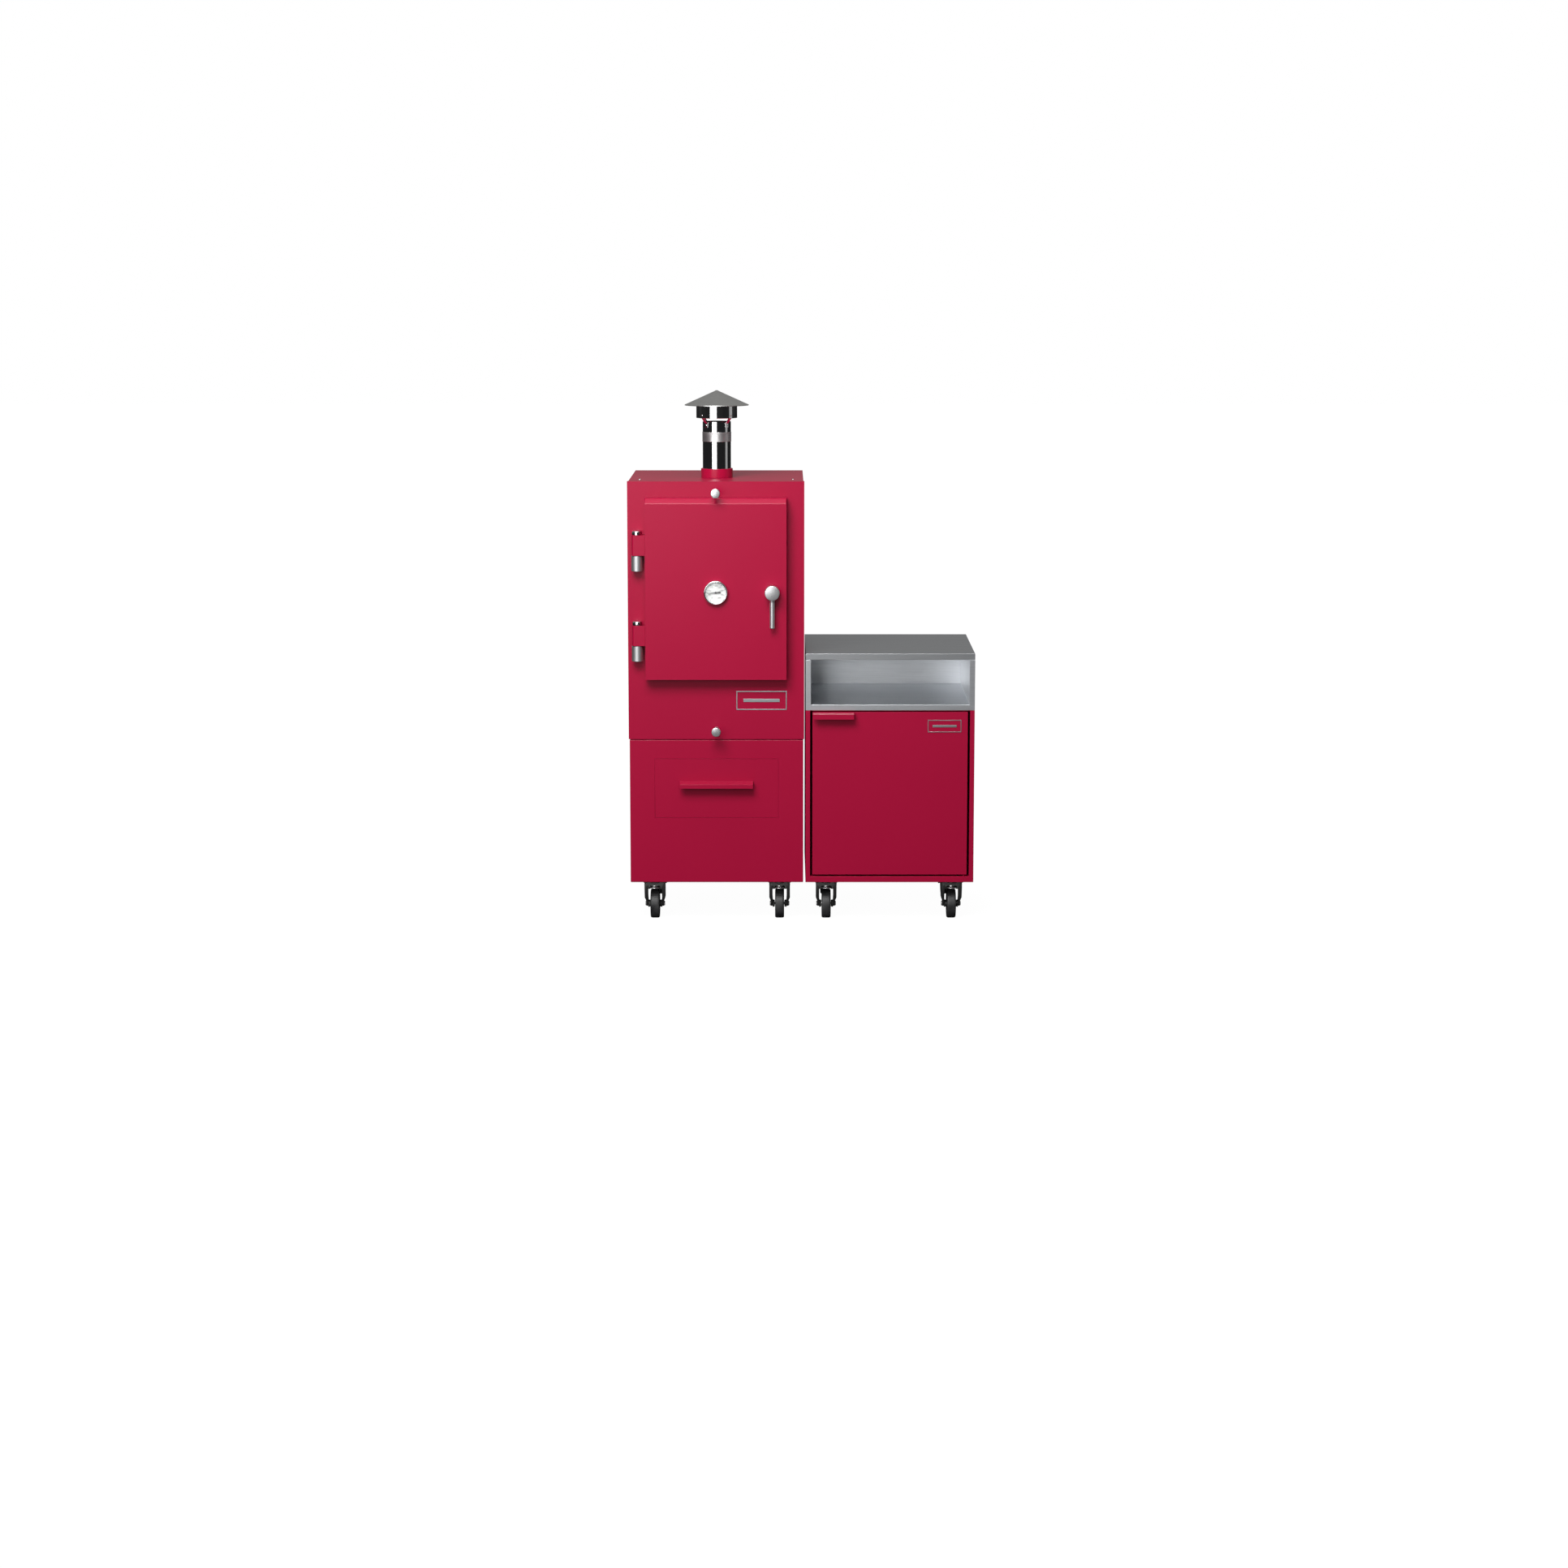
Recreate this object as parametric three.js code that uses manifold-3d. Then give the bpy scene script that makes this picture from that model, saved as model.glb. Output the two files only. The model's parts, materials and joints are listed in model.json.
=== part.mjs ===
// Charcoal oven and smoker on a drawer base, with a matching side cabinet. Millimetres, +Z up.
// The front faces -Y and the origin is on the floor, at the middle of the whole object's footprint.
import * as THREE from "three";
import { mergeVertices } from "three/addons/utils/BufferGeometryUtils.js";
import Module from "manifold-3d";

const kernel = await Module();
kernel.setup();

// ---------------------------------------------------------------- driving dimensions

const GAP = 0.3; // air between touching pieces
const CASING_WIDTH = 600;
const DEPTH = 600; // both units, front plane to back
const CASTER_HEIGHT = 142; // floor to underside
const BASE_HEIGHT = 500; // drawer module
const OVEN_TOP = 1534;
const FASCIA_LIP = 3; // the front panel stands out past the casing's sides
const CABINET_WIDTH = 584;
const CABINET_TOP = 942;
const UNIT_GAP = 8; // between the two casings
const LATCH_REACH = 90; // the latch hub's front face, ahead of the front plane

const WIDTH = CASING_WIDTH + FASCIA_LIP + UNIT_GAP + CABINET_WIDTH;
const OVEN_X = -WIDTH / 2 + FASCIA_LIP + CASING_WIDTH / 2;
const CABINET_X = WIDTH / 2 - CABINET_WIDTH / 2;
const FRONT_Y = (LATCH_REACH - DEPTH) / 2; // the front plane
const BASE_TOP = CASTER_HEIGHT + BASE_HEIGHT;
const HALF = CASING_WIDTH / 2;
const CABINET_HALF = CABINET_WIDTH / 2;

// oven chamber and its doorway
const FASCIA_DEPTH = 25;
const DOORWAY = { half: 212, low: 880, high: 1455 };
const LINER = { half: 223, front: 45, back: 545, low: 716, high: 1482, wall: 4 };
const FLUE_Y = 225;
const FLUE_BORE = 47.5;
const AIR_Y = 200;
const AIR_BORE = 35;
const TOP_VENT_Z = 1498;
const LOW_VENT_Z = 677.7;
const RACK_LEDGES = [955, 1215];
const GRATE_LEDGE = 775;

// oven door, hinged on the left
const DOOR = { half: 242, low: 857, high: 1479, front: -45, back: -6, skin: 2.5, chamfer: 17 };
const HINGE = { x: -269.5, y: -22.5, pin: 7.6, bore: 8.2 };
const HINGE_LEVELS = { upper: 1283, lower: 973 }; // joint between fixed block and knuckle
const DIAL = { z: 1158, radius: 41.5 };
const LATCH = { x: 193, z: 1159, hub: 25.5, spindle: 5 };

// drawer
const DRAWER = { half: 212.5, low: 371, high: 575 };
const TUNNEL_HALF = 213.5;

// side cabinet
const CABINET_SPLIT = 745; // red carcass below, steel niche above
const CABINET_POST = 16;
const CABINET_DOOR = { half: 268.5, low: 169, high: 739.5, thick: 20 };
const CABINET_HINGE = { x: 258, y: 10, pin: 3.7, bore: 4.3 };

// casters
const WHEEL_RADIUS = 51;
const WHEEL_HALF = 16;
const TRAIL = 28; // axle behind the swivel axis
const CASTER_INSET = { side: 82, front: 60, back: 505 };
const AXLE = 5;

// ---------------------------------------------------------------- materials

const paint = (color) => new THREE.MeshStandardMaterial({ color, roughness: 0.35, metalness: 0.1 });
const metal = (color, roughness) => new THREE.MeshStandardMaterial({ color, roughness, metalness: 1 });
const CRIMSON = paint(0xa81b3f);
const STEEL = metal(0xb4b6ba, 0.32);
const POLISHED = metal(0xc8cace, 0.12);
const CHROME = metal(0xdadce0, 0.08);
const LINER_STEEL = metal(0x8f8f90, 0.45);
const IRON = new THREE.MeshStandardMaterial({ color: 0x2b2b2c, roughness: 0.7, metalness: 0.6 });
const TYRE = new THREE.MeshStandardMaterial({ color: 0x1c1c1d, roughness: 0.75, metalness: 0 });
const WOOL = new THREE.MeshStandardMaterial({ color: 0xc9c2ac, roughness: 1, metalness: 0 });
const ROPE = new THREE.MeshStandardMaterial({ color: 0x4a4744, roughness: 1, metalness: 0 });
const DIAL_WHITE = new THREE.MeshStandardMaterial({ color: 0xf2f2ee, roughness: 0.5, metalness: 0 });
const NEEDLE_BLACK = new THREE.MeshStandardMaterial({ color: 0x141414, roughness: 0.5, metalness: 0 });
const GLASS = new THREE.MeshStandardMaterial({
  color: 0xffffff,
  roughness: 0.02,
  metalness: 0,
  transparent: true,
  opacity: 0.25,
});

// ---------------------------------------------------------------- solids

const ALONG_X = new THREE.Matrix4().makeBasis(
  new THREE.Vector3(0, 1, 0),
  new THREE.Vector3(0, 0, 1),
  new THREE.Vector3(1, 0, 0),
);

function solidOf(geometry) {
  geometry.deleteAttribute("normal");
  geometry.deleteAttribute("uv");
  const merged = mergeVertices(geometry, 1e-4);
  return new kernel.Manifold(
    new kernel.Mesh({
      numProp: 3,
      vertProperties: merged.attributes.position.array,
      triVerts: new Uint32Array(merged.index.array),
    }),
  );
}

// A box between two corners.
function slab(x0, x1, y0, y1, z0, z1) {
  const box = new THREE.BoxGeometry(x1 - x0, y1 - y0, z1 - z0);
  return solidOf(box.translate((x0 + x1) / 2, (y0 + y1) / 2, (z0 + z1) / 2));
}

// A cylinder along x, y or z, from one place on its axis to another.
function drum(axis, radius, from, to, [x, y, z], sides = 32) {
  const rod = new THREE.CylinderGeometry(radius, radius, to - from, sides);
  rod.translate(0, (from + to) / 2, 0);
  if (axis === "x") rod.rotateZ(-Math.PI / 2);
  if (axis === "z") rod.rotateX(Math.PI / 2);
  return solidOf(rod.translate(x, y, z));
}

// A profile of [radius, height] points turned about Z; a ring's profile closes on itself.
function turned(profile, sides = 32, start = 0) {
  const area = profile.reduce((sum, [r, h], i) => {
    const [r1, h1] = profile[(i + 1) % profile.length];
    return sum + r * h1 - r1 * h;
  }, 0);
  const points = (area > 0 ? profile : [...profile].reverse()).map(([r, h]) => new THREE.Vector2(r, h));
  const onAxis = profile[0][0] === 0 && profile.at(-1)[0] === 0;
  if (!onAxis) points.push(points[0].clone());
  return solidOf(new THREE.LatheGeometry(points, sides, start).rotateX(Math.PI / 2));
}

// An outline in the (y, z) plane drawn out along X.
function drawnAlongX(outline, x0, x1) {
  const shape = new THREE.Shape(outline.map(([y, z]) => new THREE.Vector2(y, z)));
  const bar = new THREE.ExtrudeGeometry(shape, { depth: x1 - x0, bevelEnabled: false });
  return solidOf(bar.applyMatrix4(ALONG_X).translate(x0, 0, 0));
}

// A THREE.Shape in the (x, y) plane drawn up along Z.
function drawnUp(shape, z0, z1, curveSegments = 8) {
  const bar = new THREE.ExtrudeGeometry(shape, { depth: z1 - z0, bevelEnabled: false, curveSegments });
  return solidOf(bar.translate(0, 0, z0));
}

const join = (...solids) => solids.reduce((a, b) => a.add(b));
const cut = (solid, ...tools) => tools.reduce((a, b) => a.subtract(b), solid);

function piece(name, material, solid) {
  const { numProp, vertProperties, triVerts } = solid.getMesh();
  const positions = new Float32Array((vertProperties.length / numProp) * 3);
  for (let i = 0; i < positions.length / 3; i++)
    positions.set(vertProperties.subarray(i * numProp, i * numProp + 3), i * 3);
  const geometry = new THREE.BufferGeometry();
  geometry.setAttribute("position", new THREE.BufferAttribute(positions, 3));
  geometry.setIndex(new THREE.BufferAttribute(new Uint32Array(triVerts), 1));
  geometry.computeVertexNormals();
  const mesh = new THREE.Mesh(geometry, material);
  mesh.name = name;
  return mesh;
}

const range = (n) => Array.from({ length: n }, (_, i) => i);

// ---------------------------------------------------------------- oven body

function ovenFrontPanel() {
  const half = HALF + FASCIA_LIP;
  const low = BASE_TOP + 3;
  const frame = DOORWAY.half + 3;
  let panel = slab(-half, half, 0, FASCIA_DEPTH, low, OVEN_TOP);
  panel = cut(panel, slab(-half + 2.5, half - 2.5, 3, FASCIA_DEPTH + 1, low + 2.5, OVEN_TOP - 2.5));
  panel = join(panel, slab(-frame, frame, 1, FASCIA_DEPTH, DOORWAY.low - 3, DOORWAY.high + 3));
  return cut(
    panel,
    slab(-DOORWAY.half, DOORWAY.half, -1, FASCIA_DEPTH + 1, DOORWAY.low, DOORWAY.high),
    drum("y", 6, -1, 4, [0, 0, TOP_VENT_Z]),
    drum("y", 6, -1, 4, [0, 0, LOW_VENT_Z]),
  );
}

function ovenCasing() {
  const front = FASCIA_DEPTH + GAP;
  const low = BASE_TOP + GAP;
  return cut(
    slab(-HALF, HALF, front, DEPTH, low, OVEN_TOP),
    slab(-HALF + 2, HALF - 2, front - 1, DEPTH - 2, low + 2, OVEN_TOP - 2),
    drum("z", 51.5, OVEN_TOP - 5, OVEN_TOP + 5, [0, FLUE_Y, 0]),
    drum("z", 40, low - 1, low + 3, [0, AIR_Y, 0]),
  );
}

function ovenLiner() {
  const { half, front, back, low, high, wall } = LINER;
  const throat = DOORWAY.half + 3;
  let liner = join(
    slab(-half, half, front, back, low, high),
    slab(-throat, throat, FASCIA_DEPTH + 0.6, front + 1, DOORWAY.low - 3, DOORWAY.high + 3),
    drum("z", FLUE_BORE + 3, high - 1, high + 9, [0, FLUE_Y, 0]),
    drum("z", AIR_BORE + 3, low - 29, low + 1, [0, AIR_Y, 0]),
  );
  liner = cut(
    liner,
    slab(-half + wall, half - wall, front + wall, back - wall, low + wall, high - wall),
    slab(-DOORWAY.half, DOORWAY.half, FASCIA_DEPTH, front + wall + 1, DOORWAY.low, DOORWAY.high),
    slab(throat - 4, throat + 1, FASCIA_DEPTH, front - 4, LATCH.z - 48, LATCH.z + 20),
    drum("z", FLUE_BORE, high - wall - 1, high + 10, [0, FLUE_Y, 0]),
    drum("z", AIR_BORE, low - 30, low + wall + 1, [0, AIR_Y, 0]),
  );
  const ledges = [GRATE_LEDGE, ...RACK_LEDGES].flatMap((top) =>
    [-1, 1].map((side) => {
      const [near, far] = [side * (half - wall - 11), side * (half - wall + 1)];
      return slab(Math.min(near, far), Math.max(near, far), front + 20, back - 20, top - 3, top);
    }),
  );
  return join(liner, ...ledges);
}

function ovenInsulation() {
  const { half, back } = LINER;
  return cut(
    slab(-HALF + 4, HALF - 4, 50, DEPTH - 4, 692, 1478),
    slab(-half - GAP, half + GAP, 49, back + GAP, 691, 1479),
  );
}

// A frame of flat bars that rests on a pair of ledges.
function barGrid(ledge, thick, barWidth, count) {
  const half = LINER.half - LINER.wall - 4;
  const [front, back] = [LINER.front + 24, LINER.back - 24];
  const low = ledge + GAP;
  const rim = cut(
    slab(-half, half, front, back, low, low + thick),
    slab(-half + 8, half - 8, front + 8, back - 8, low - 1, low + thick + 1),
  );
  const pitch = (2 * half - 8) / (count + 1);
  const bars = range(count).map((i) => {
    const x = -half + 4 + pitch * (i + 1);
    return slab(x - barWidth / 2, x + barWidth / 2, front + 4, back - 4, low + 1, low + thick - 1);
  });
  return join(rim, ...bars);
}

// ---------------------------------------------------------------- flue

const PIPE_RADIUS = 49;
const PIPE_TOP = 1727.5;
const SKIRT = { radius: 71, low: 1739.5, high: 1796.5 };
const CONE = { radius: 111.5, low: 1783, apex: 1835, wall: 2 };

function flueCollar() {
  const tube = FLUE_BORE + 3.3;
  return turned([
    [FLUE_BORE, 1504],
    [tube, 1504],
    [tube, OVEN_TOP + GAP],
    [55.2, OVEN_TOP + GAP],
    [55.2, 1565],
    [PIPE_RADIUS + GAP, 1565],
    [PIPE_RADIUS + GAP, 1536],
    [FLUE_BORE, 1536],
  ]);
}

const fluePipe = () =>
  turned([
    [FLUE_BORE, 1536 + GAP],
    [PIPE_RADIUS, 1536 + GAP],
    [PIPE_RADIUS, PIPE_TOP],
    [FLUE_BORE, PIPE_TOP],
  ]);

const flueBand = () =>
  turned([
    [PIPE_RADIUS + GAP, 1658.5],
    [PIPE_RADIUS + 1.3, 1658.5],
    [PIPE_RADIUS + 1.3, 1691],
    [PIPE_RADIUS + GAP, 1691],
  ]);

// The cowl's skirt, with four straps that lean in and down to the top of the pipe.
function cowlSkirt() {
  const ring = turned([
    [SKIRT.radius - 1.6, SKIRT.low],
    [SKIRT.radius, SKIRT.low],
    [SKIRT.radius, SKIRT.high],
    [SKIRT.radius - 1.6, SKIRT.high],
  ]);
  const inner = PIPE_RADIUS + 0.6;
  const strap = drawnAlongX(
    [
      [inner, PIPE_TOP - 20],
      [inner + 1.6, PIPE_TOP - 20],
      [inner + 1.6, PIPE_TOP - 6],
      [SKIRT.radius - 0.8, SKIRT.low + 3],
      [SKIRT.radius - 0.8, SKIRT.low + 16],
      [SKIRT.radius - 2.4, SKIRT.low + 16],
      [SKIRT.radius - 2.4, SKIRT.low + 4],
      [inner, PIPE_TOP - 5],
    ],
    -6,
    6,
  );
  const straps = [45, 135, 225, 315].map((degrees) => strap.rotate([0, 0, degrees]));
  return join(ring, ...straps);
}

function cowlCone() {
  const { radius, low, apex, wall } = CONE;
  return turned([
    [0, apex],
    [0, apex - wall - 0.6],
    [radius - 2, low],
    [radius, low],
    [radius, low + wall / 2],
  ]);
}

// ---------------------------------------------------------------- oven door

// The door's section, drawn in by an inset on every side but its open back.
function doorSection(inset, back) {
  const { low, high, front, chamfer } = DOOR;
  const slope = chamfer - inset * (2 - Math.SQRT2);
  return [
    [front + inset, low + inset],
    [back, low + inset],
    [back, high - inset],
    [front + inset + slope, high - inset],
    [front + inset, high - inset - slope],
  ];
}

function doorShell() {
  const { half, back, skin } = DOOR;
  return cut(
    drawnAlongX(doorSection(0, back), -half, half),
    drawnAlongX(doorSection(skin, back + 1), -half + skin, half - skin),
    drum("y", 6, -50, -40, [0, 0, DIAL.z]),
    drum("y", 6.5, -50, -40, [LATCH.x, 0, LATCH.z]),
  );
}

const PLUG = { half: 206, low: 886, high: 1449, back: 18 };

function doorInnerPanel() {
  const face = DOOR.back + GAP;
  const { half, low, high, back } = PLUG;
  const panel = join(
    slab(-236, 236, face, face + 1.5, DOOR.low + 6, DOOR.high - 6),
    slab(-half, half, face, back, low, high),
  );
  return cut(
    panel,
    slab(-half + 2, half - 2, face - 1, back - 2, low + 2, high - 2),
    drum("y", 6, -10, 30, [0, 0, DIAL.z]),
    drum("y", 6.5, -10, 30, [LATCH.x, 0, LATCH.z]),
  );
}

const doorSeal = () =>
  cut(
    slab(-230, 230, -3.9, -GAP, DOORWAY.low - 18, DOORWAY.high + 18),
    slab(-216, 216, -5, 1, DOORWAY.low - 4, DOORWAY.high + 4),
  );

// A knuckle welded to the door's edge. Its back is round about the pin, so that it clears the front
// panel as it turns, and its front corner is eased for the same reason.
function doorKnuckle(level) {
  const { x, y, bore } = HINGE;
  const [weld, face, ease, round] = [-DOOR.half - GAP, DOOR.front + 2, 8, 17];
  const outline = new THREE.Shape();
  outline.moveTo(weld, face);
  outline.lineTo(weld, y + round);
  outline.lineTo(x, y + round);
  outline.absarc(x, y, round, Math.PI / 2, Math.PI, false);
  outline.lineTo(x - round, face + ease);
  outline.absarc(x - round + ease, face + ease, ease, Math.PI, 1.5 * Math.PI, false);
  outline.closePath();
  return cut(drawnUp(outline, level, level + 69.5), drum("z", bore, level - 1, level + 71, [x, y, 0], 24));
}

function hingeBlock(level) {
  const { x, y, bore } = HINGE;
  const [low, high] = [level - 54, level - 0.5];
  return cut(
    join(drum("z", 19.5, low, high, [x, y, 0]), slab(x - 13, x + 13, y + 6, -GAP, low, high)),
    drum("z", bore, low - 1, high + 1, [x, y, 0], 24),
  );
}

function hingePin(level) {
  const { x, y, pin } = HINGE;
  return turned(
    [
      [0, level - 50],
      [pin, level - 50],
      [pin, level + 70],
      [17, level + 70],
      [17, level + 82],
      [14, level + 85],
      [0, level + 85],
    ],
    24,
  ).translate([x, y, 0]);
}

// Thermometer, built round its own axis with +Z towards the viewer, then turned to face -Y.
const facingFront = (solid) => solid.rotate([90, 0, 0]).translate([0, DOOR.front, DIAL.z]);

function thermometerCase() {
  const { radius } = DIAL;
  const bowl = turned([
    [0, GAP],
    [radius - 3, GAP],
    [radius, 3],
    [radius, 15],
    [radius - 2, 17],
    [radius - 5, 17],
    [radius - 5, 2.6],
    [0, 2.6],
  ]);
  return facingFront(join(bowl, drum("z", 4, -115, 1, [0, 0, 0], 16)));
}

const thermometerDial = () => facingFront(drum("z", DIAL.radius - 5.4, 2.9, 3.9, [0, 0, 0]));
const thermometerLens = () => facingFront(drum("z", DIAL.radius - 5.4, 12.5, 14.5, [0, 0, 0]));

const NEEDLE_REST = 4; // degrees below nine o'clock

// A thin pointer whose wider tail balances it on its hub.
function thermometerNeedle() {
  const half = [
    [-30, 0.5],
    [0, 1.2],
    [16, 3.3],
  ];
  const outline = [...half.map(([x, w]) => [x, -w]), ...half.toReversed()];
  const arm = new THREE.Shape(outline.map(([x, w]) => new THREE.Vector2(x, w)));
  const needle = join(drawnUp(arm, 6, 7.2), drum("z", 3.6, 4.4, 9, [0, 0, 0], 16));
  return facingFront(needle.rotate([0, 0, NEEDLE_REST]));
}

// ---------------------------------------------------------------- latch

function latchHub() {
  const { x, z, hub } = LATCH;
  return drum("y", hub, -LATCH_REACH, DOOR.front - GAP, [x, 0, z]);
}

const LEVER = { radius: 8.7, low: 1036, y: -68 };

function latchLever() {
  const { radius, low, y } = LEVER;
  return turned(
    [
      [0, low],
      [radius - 3, low],
      [radius, low + 3],
      [radius, LATCH.z - LATCH.hub - GAP],
      [0, LATCH.z - LATCH.hub - GAP],
    ],
    24,
  ).translate([LATCH.x, y, 0]);
}

const TONGUE = { front: 28, back: 34, half: 8, length: 42 };

function latchTongue() {
  const { x, z, spindle } = LATCH;
  const { front, back, half, length } = TONGUE;
  return join(
    drum("y", spindle, DOOR.front, back, [x, 0, z], 24),
    slab(x - half, x + half, front, back, z - length, z + half),
  );
}

const doorKeeper = () =>
  slab(DOORWAY.half + 4, DOORWAY.half + 28, 3 + GAP, TONGUE.front - 0.5, LATCH.z - 20, LATCH.z + 20);

// ---------------------------------------------------------------- vents

const ROD = 5;
const VENT_KNOB = { radius: 16, thick: 22 };

const ventKnob = (front, z) => drum("y", VENT_KNOB.radius, front, front + VENT_KNOB.thick, [0, 0, z], 32);

// A rod that carries a flat plate across its bore; the plate sits at the given offset above the rod.
function damper(rodFront, z, centreY, halfPlate, offset) {
  return join(
    drum("y", ROD, rodFront, centreY - halfPlate + 2, [0, 0, z], 16),
    slab(-halfPlate, halfPlate, centreY - halfPlate, centreY + halfPlate, z + offset, z + offset + 3),
  );
}

const TOP_KNOB_FRONT = -84;
const LOW_KNOB_FRONT = -64;
const behindKnob = (front) => front + VENT_KNOB.thick + GAP;

// ---------------------------------------------------------------- drawer base

// Flat pads under a casing, one above each caster.
function casterPads(half) {
  return swivelPlaces(half).map(({ x, y }) => slab(x - 42, x + 42, y - 34, y + 34, CASTER_HEIGHT - 4, CASTER_HEIGHT + 1));
}

function swivelPlaces(half) {
  const { side, front, back } = CASTER_INSET;
  const reach = half - side + (half === CABINET_HALF ? 9 : 0);
  return [
    { name: "front_left", x: -reach, y: front },
    { name: "front_right", x: reach, y: front },
    { name: "rear_left", x: -reach, y: back },
    { name: "rear_right", x: reach, y: back },
  ];
}

function baseCasing() {
  const wall = 3;
  const shell = cut(
    slab(-HALF, HALF, 0, DEPTH, CASTER_HEIGHT, BASE_TOP),
    slab(-HALF + wall, HALF - wall, wall, DEPTH - wall, CASTER_HEIGHT + wall, BASE_TOP - wall),
  );
  const partitions = [-1, 1].map((side) => {
    const [near, far] = [side * TUNNEL_HALF, side * (TUNNEL_HALF + 3)];
    return slab(Math.min(near, far), Math.max(near, far), 1, DEPTH - 1, DRAWER.low - 5, DRAWER.high + 5);
  });
  return cut(
    join(shell, ...partitions, ...casterPads(HALF)),
    slab(-TUNNEL_HALF - 0.5, TUNNEL_HALF + 0.5, -1, wall + 1, DRAWER.low - 1.5, DRAWER.high + 1.5),
    drum("z", 40, BASE_TOP - 5, BASE_TOP + 5, [0, AIR_Y, 0]),
  );
}

function drawerRunner(side) {
  const post = slab(201.5, TUNNEL_HALF - GAP, 22, 560, 376, 400);
  const ledge = slab(188, TUNNEL_HALF - GAP, 22, 560, 376, 379.6);
  const runner = join(post, ledge);
  return side > 0 ? runner : runner.mirror([1, 0, 0]);
}

function drawerFront() {
  const { half, low, high } = DRAWER;
  return cut(slab(-half, half, 0, 18, low, high), slab(-half + 2, half - 2, 2, 19, low + 2, high - 2));
}

const drawerBox = () =>
  cut(slab(-200, 200, 18 + GAP, 545, 380, 560), slab(-198, 198, 20 + GAP, 543, 382, 561));

// A hood handle: a sheet that slopes out and down, then turns down in a lip.
function hoodHandle(x0, x1, top, reach, drop, lip) {
  const sheet = 2.5;
  return drawnAlongX(
    [
      [-GAP, top],
      [-GAP, top - sheet],
      [-reach + sheet, top - drop - sheet],
      [-reach + sheet, top - drop - lip],
      [-reach, top - drop - lip],
      [-reach, top - drop],
    ],
    x0,
    x1,
  );
}

// ---------------------------------------------------------------- side cabinet

function cabinetCarcass() {
  const half = CABINET_HALF;
  const inner = half - CABINET_POST;
  const top = CABINET_SPLIT - GAP;
  const { x, y, pin } = CABINET_HINGE;
  const box = cut(
    slab(-half, half, 0, DEPTH, CASTER_HEIGHT, top),
    slab(-half + 2, half - 2, 22, DEPTH - 2, CASTER_HEIGHT + 2, top + 1),
    slab(-inner, inner, -1, 23, 163, top + 1),
  );
  return join(
    box,
    slab(-half + 1, half - 1, 5, 35, 742, top),
    drum("z", pin, 162, 178, [x, y, 0], 16),
    drum("z", pin, 730, 743, [x, y, 0], 16),
    ...casterPads(half),
  );
}

const NICHE = { half: 273.3, floor: 765, ceiling: 921, back: 578 };

// A steel box open at the front. Its double walls are hollow from beneath.
function cabinetNiche() {
  const half = CABINET_HALF;
  const low = CABINET_SPLIT;
  return cut(
    slab(-half, half, 0, DEPTH, low, NICHE.ceiling - GAP),
    slab(-NICHE.half, NICHE.half, -1, NICHE.back, NICHE.floor, NICHE.ceiling + 1),
    slab(-half + 2, -NICHE.half - 2, 20, DEPTH - 2, low - 1, NICHE.ceiling - 3),
    slab(NICHE.half + 2, half - 2, 20, DEPTH - 2, low - 1, NICHE.ceiling - 3),
    slab(-half + 2, half - 2, 20, DEPTH - 2, low - 1, NICHE.floor - 2),
    slab(-half + 2, half - 2, NICHE.back + 2, DEPTH - 2, low - 1, NICHE.ceiling - 3),
  );
}

function cabinetWorktop() {
  const half = CABINET_HALF;
  return cut(
    slab(-half, half, 0, DEPTH, NICHE.ceiling, CABINET_TOP),
    slab(-half + 2, half - 2, 2, DEPTH + 1, NICHE.ceiling + 2, CABINET_TOP - 2),
  );
}

function cabinetDoor() {
  const { half, low, high, thick } = CABINET_DOOR;
  const { x, y, bore } = CABINET_HINGE;
  return cut(
    slab(-half, half, 0, thick, low, high),
    slab(-half + 2, half - 2, 2, thick + 1, low + 2, high - 2),
    drum("z", bore, low - 1, low + 3, [x, y, 0], 16),
    drum("z", bore, high - 3, high + 1, [x, y, 0], 16),
  );
}

// ---------------------------------------------------------------- casters

const FORK = { inner: 24, outer: 37.5, crown: 119, plate: 127, top: CASTER_HEIGHT - 4 - GAP };

// Bearing, crown plate, two tapering legs and the axle, about the swivel axis.
function casterFork() {
  const { inner, outer, crown, plate, top } = FORK;
  const leg = [
    [-22, plate],
    [-20, crown - 10],
    [TRAIL - 10, WHEEL_RADIUS - 4],
    [TRAIL - 4, WHEEL_RADIUS - 10],
    [TRAIL + 4, WHEEL_RADIUS - 10],
    [TRAIL + 10, WHEEL_RADIUS - 4],
    [TRAIL + 12, crown - 20],
    [TRAIL + 10, plate],
  ];
  return join(
    drum("z", 27, plate - 1, top, [0, 0, 0], 24),
    slab(-outer, outer, -22, TRAIL + 10, crown, plate),
    drawnAlongX(leg, -outer + 1, -inner - 3),
    drawnAlongX(leg, inner + 3, outer - 1),
    drum("x", AXLE, -outer + 0.5, outer - 0.5, [0, TRAIL, WHEEL_RADIUS], 12),
  );
}

// A wheel of flat facets that stands on one of them, so its corners reach a little past its radius.
function casterWheel() {
  const sides = 24;
  const bore = AXLE + 0.6;
  const corner = WHEEL_RADIUS / Math.cos(Math.PI / sides);
  const w = WHEEL_HALF;
  const wheel = turned(
    [
      [bore, -w],
      [corner - 4, -w],
      [corner, -w + 5],
      [corner, w - 5],
      [corner - 4, w],
      [bore, w],
    ],
    sides,
    Math.PI / sides,
  );
  return wheel.rotate([0, 90, 0]).translate([0, TRAIL, WHEEL_RADIUS]);
}

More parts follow.
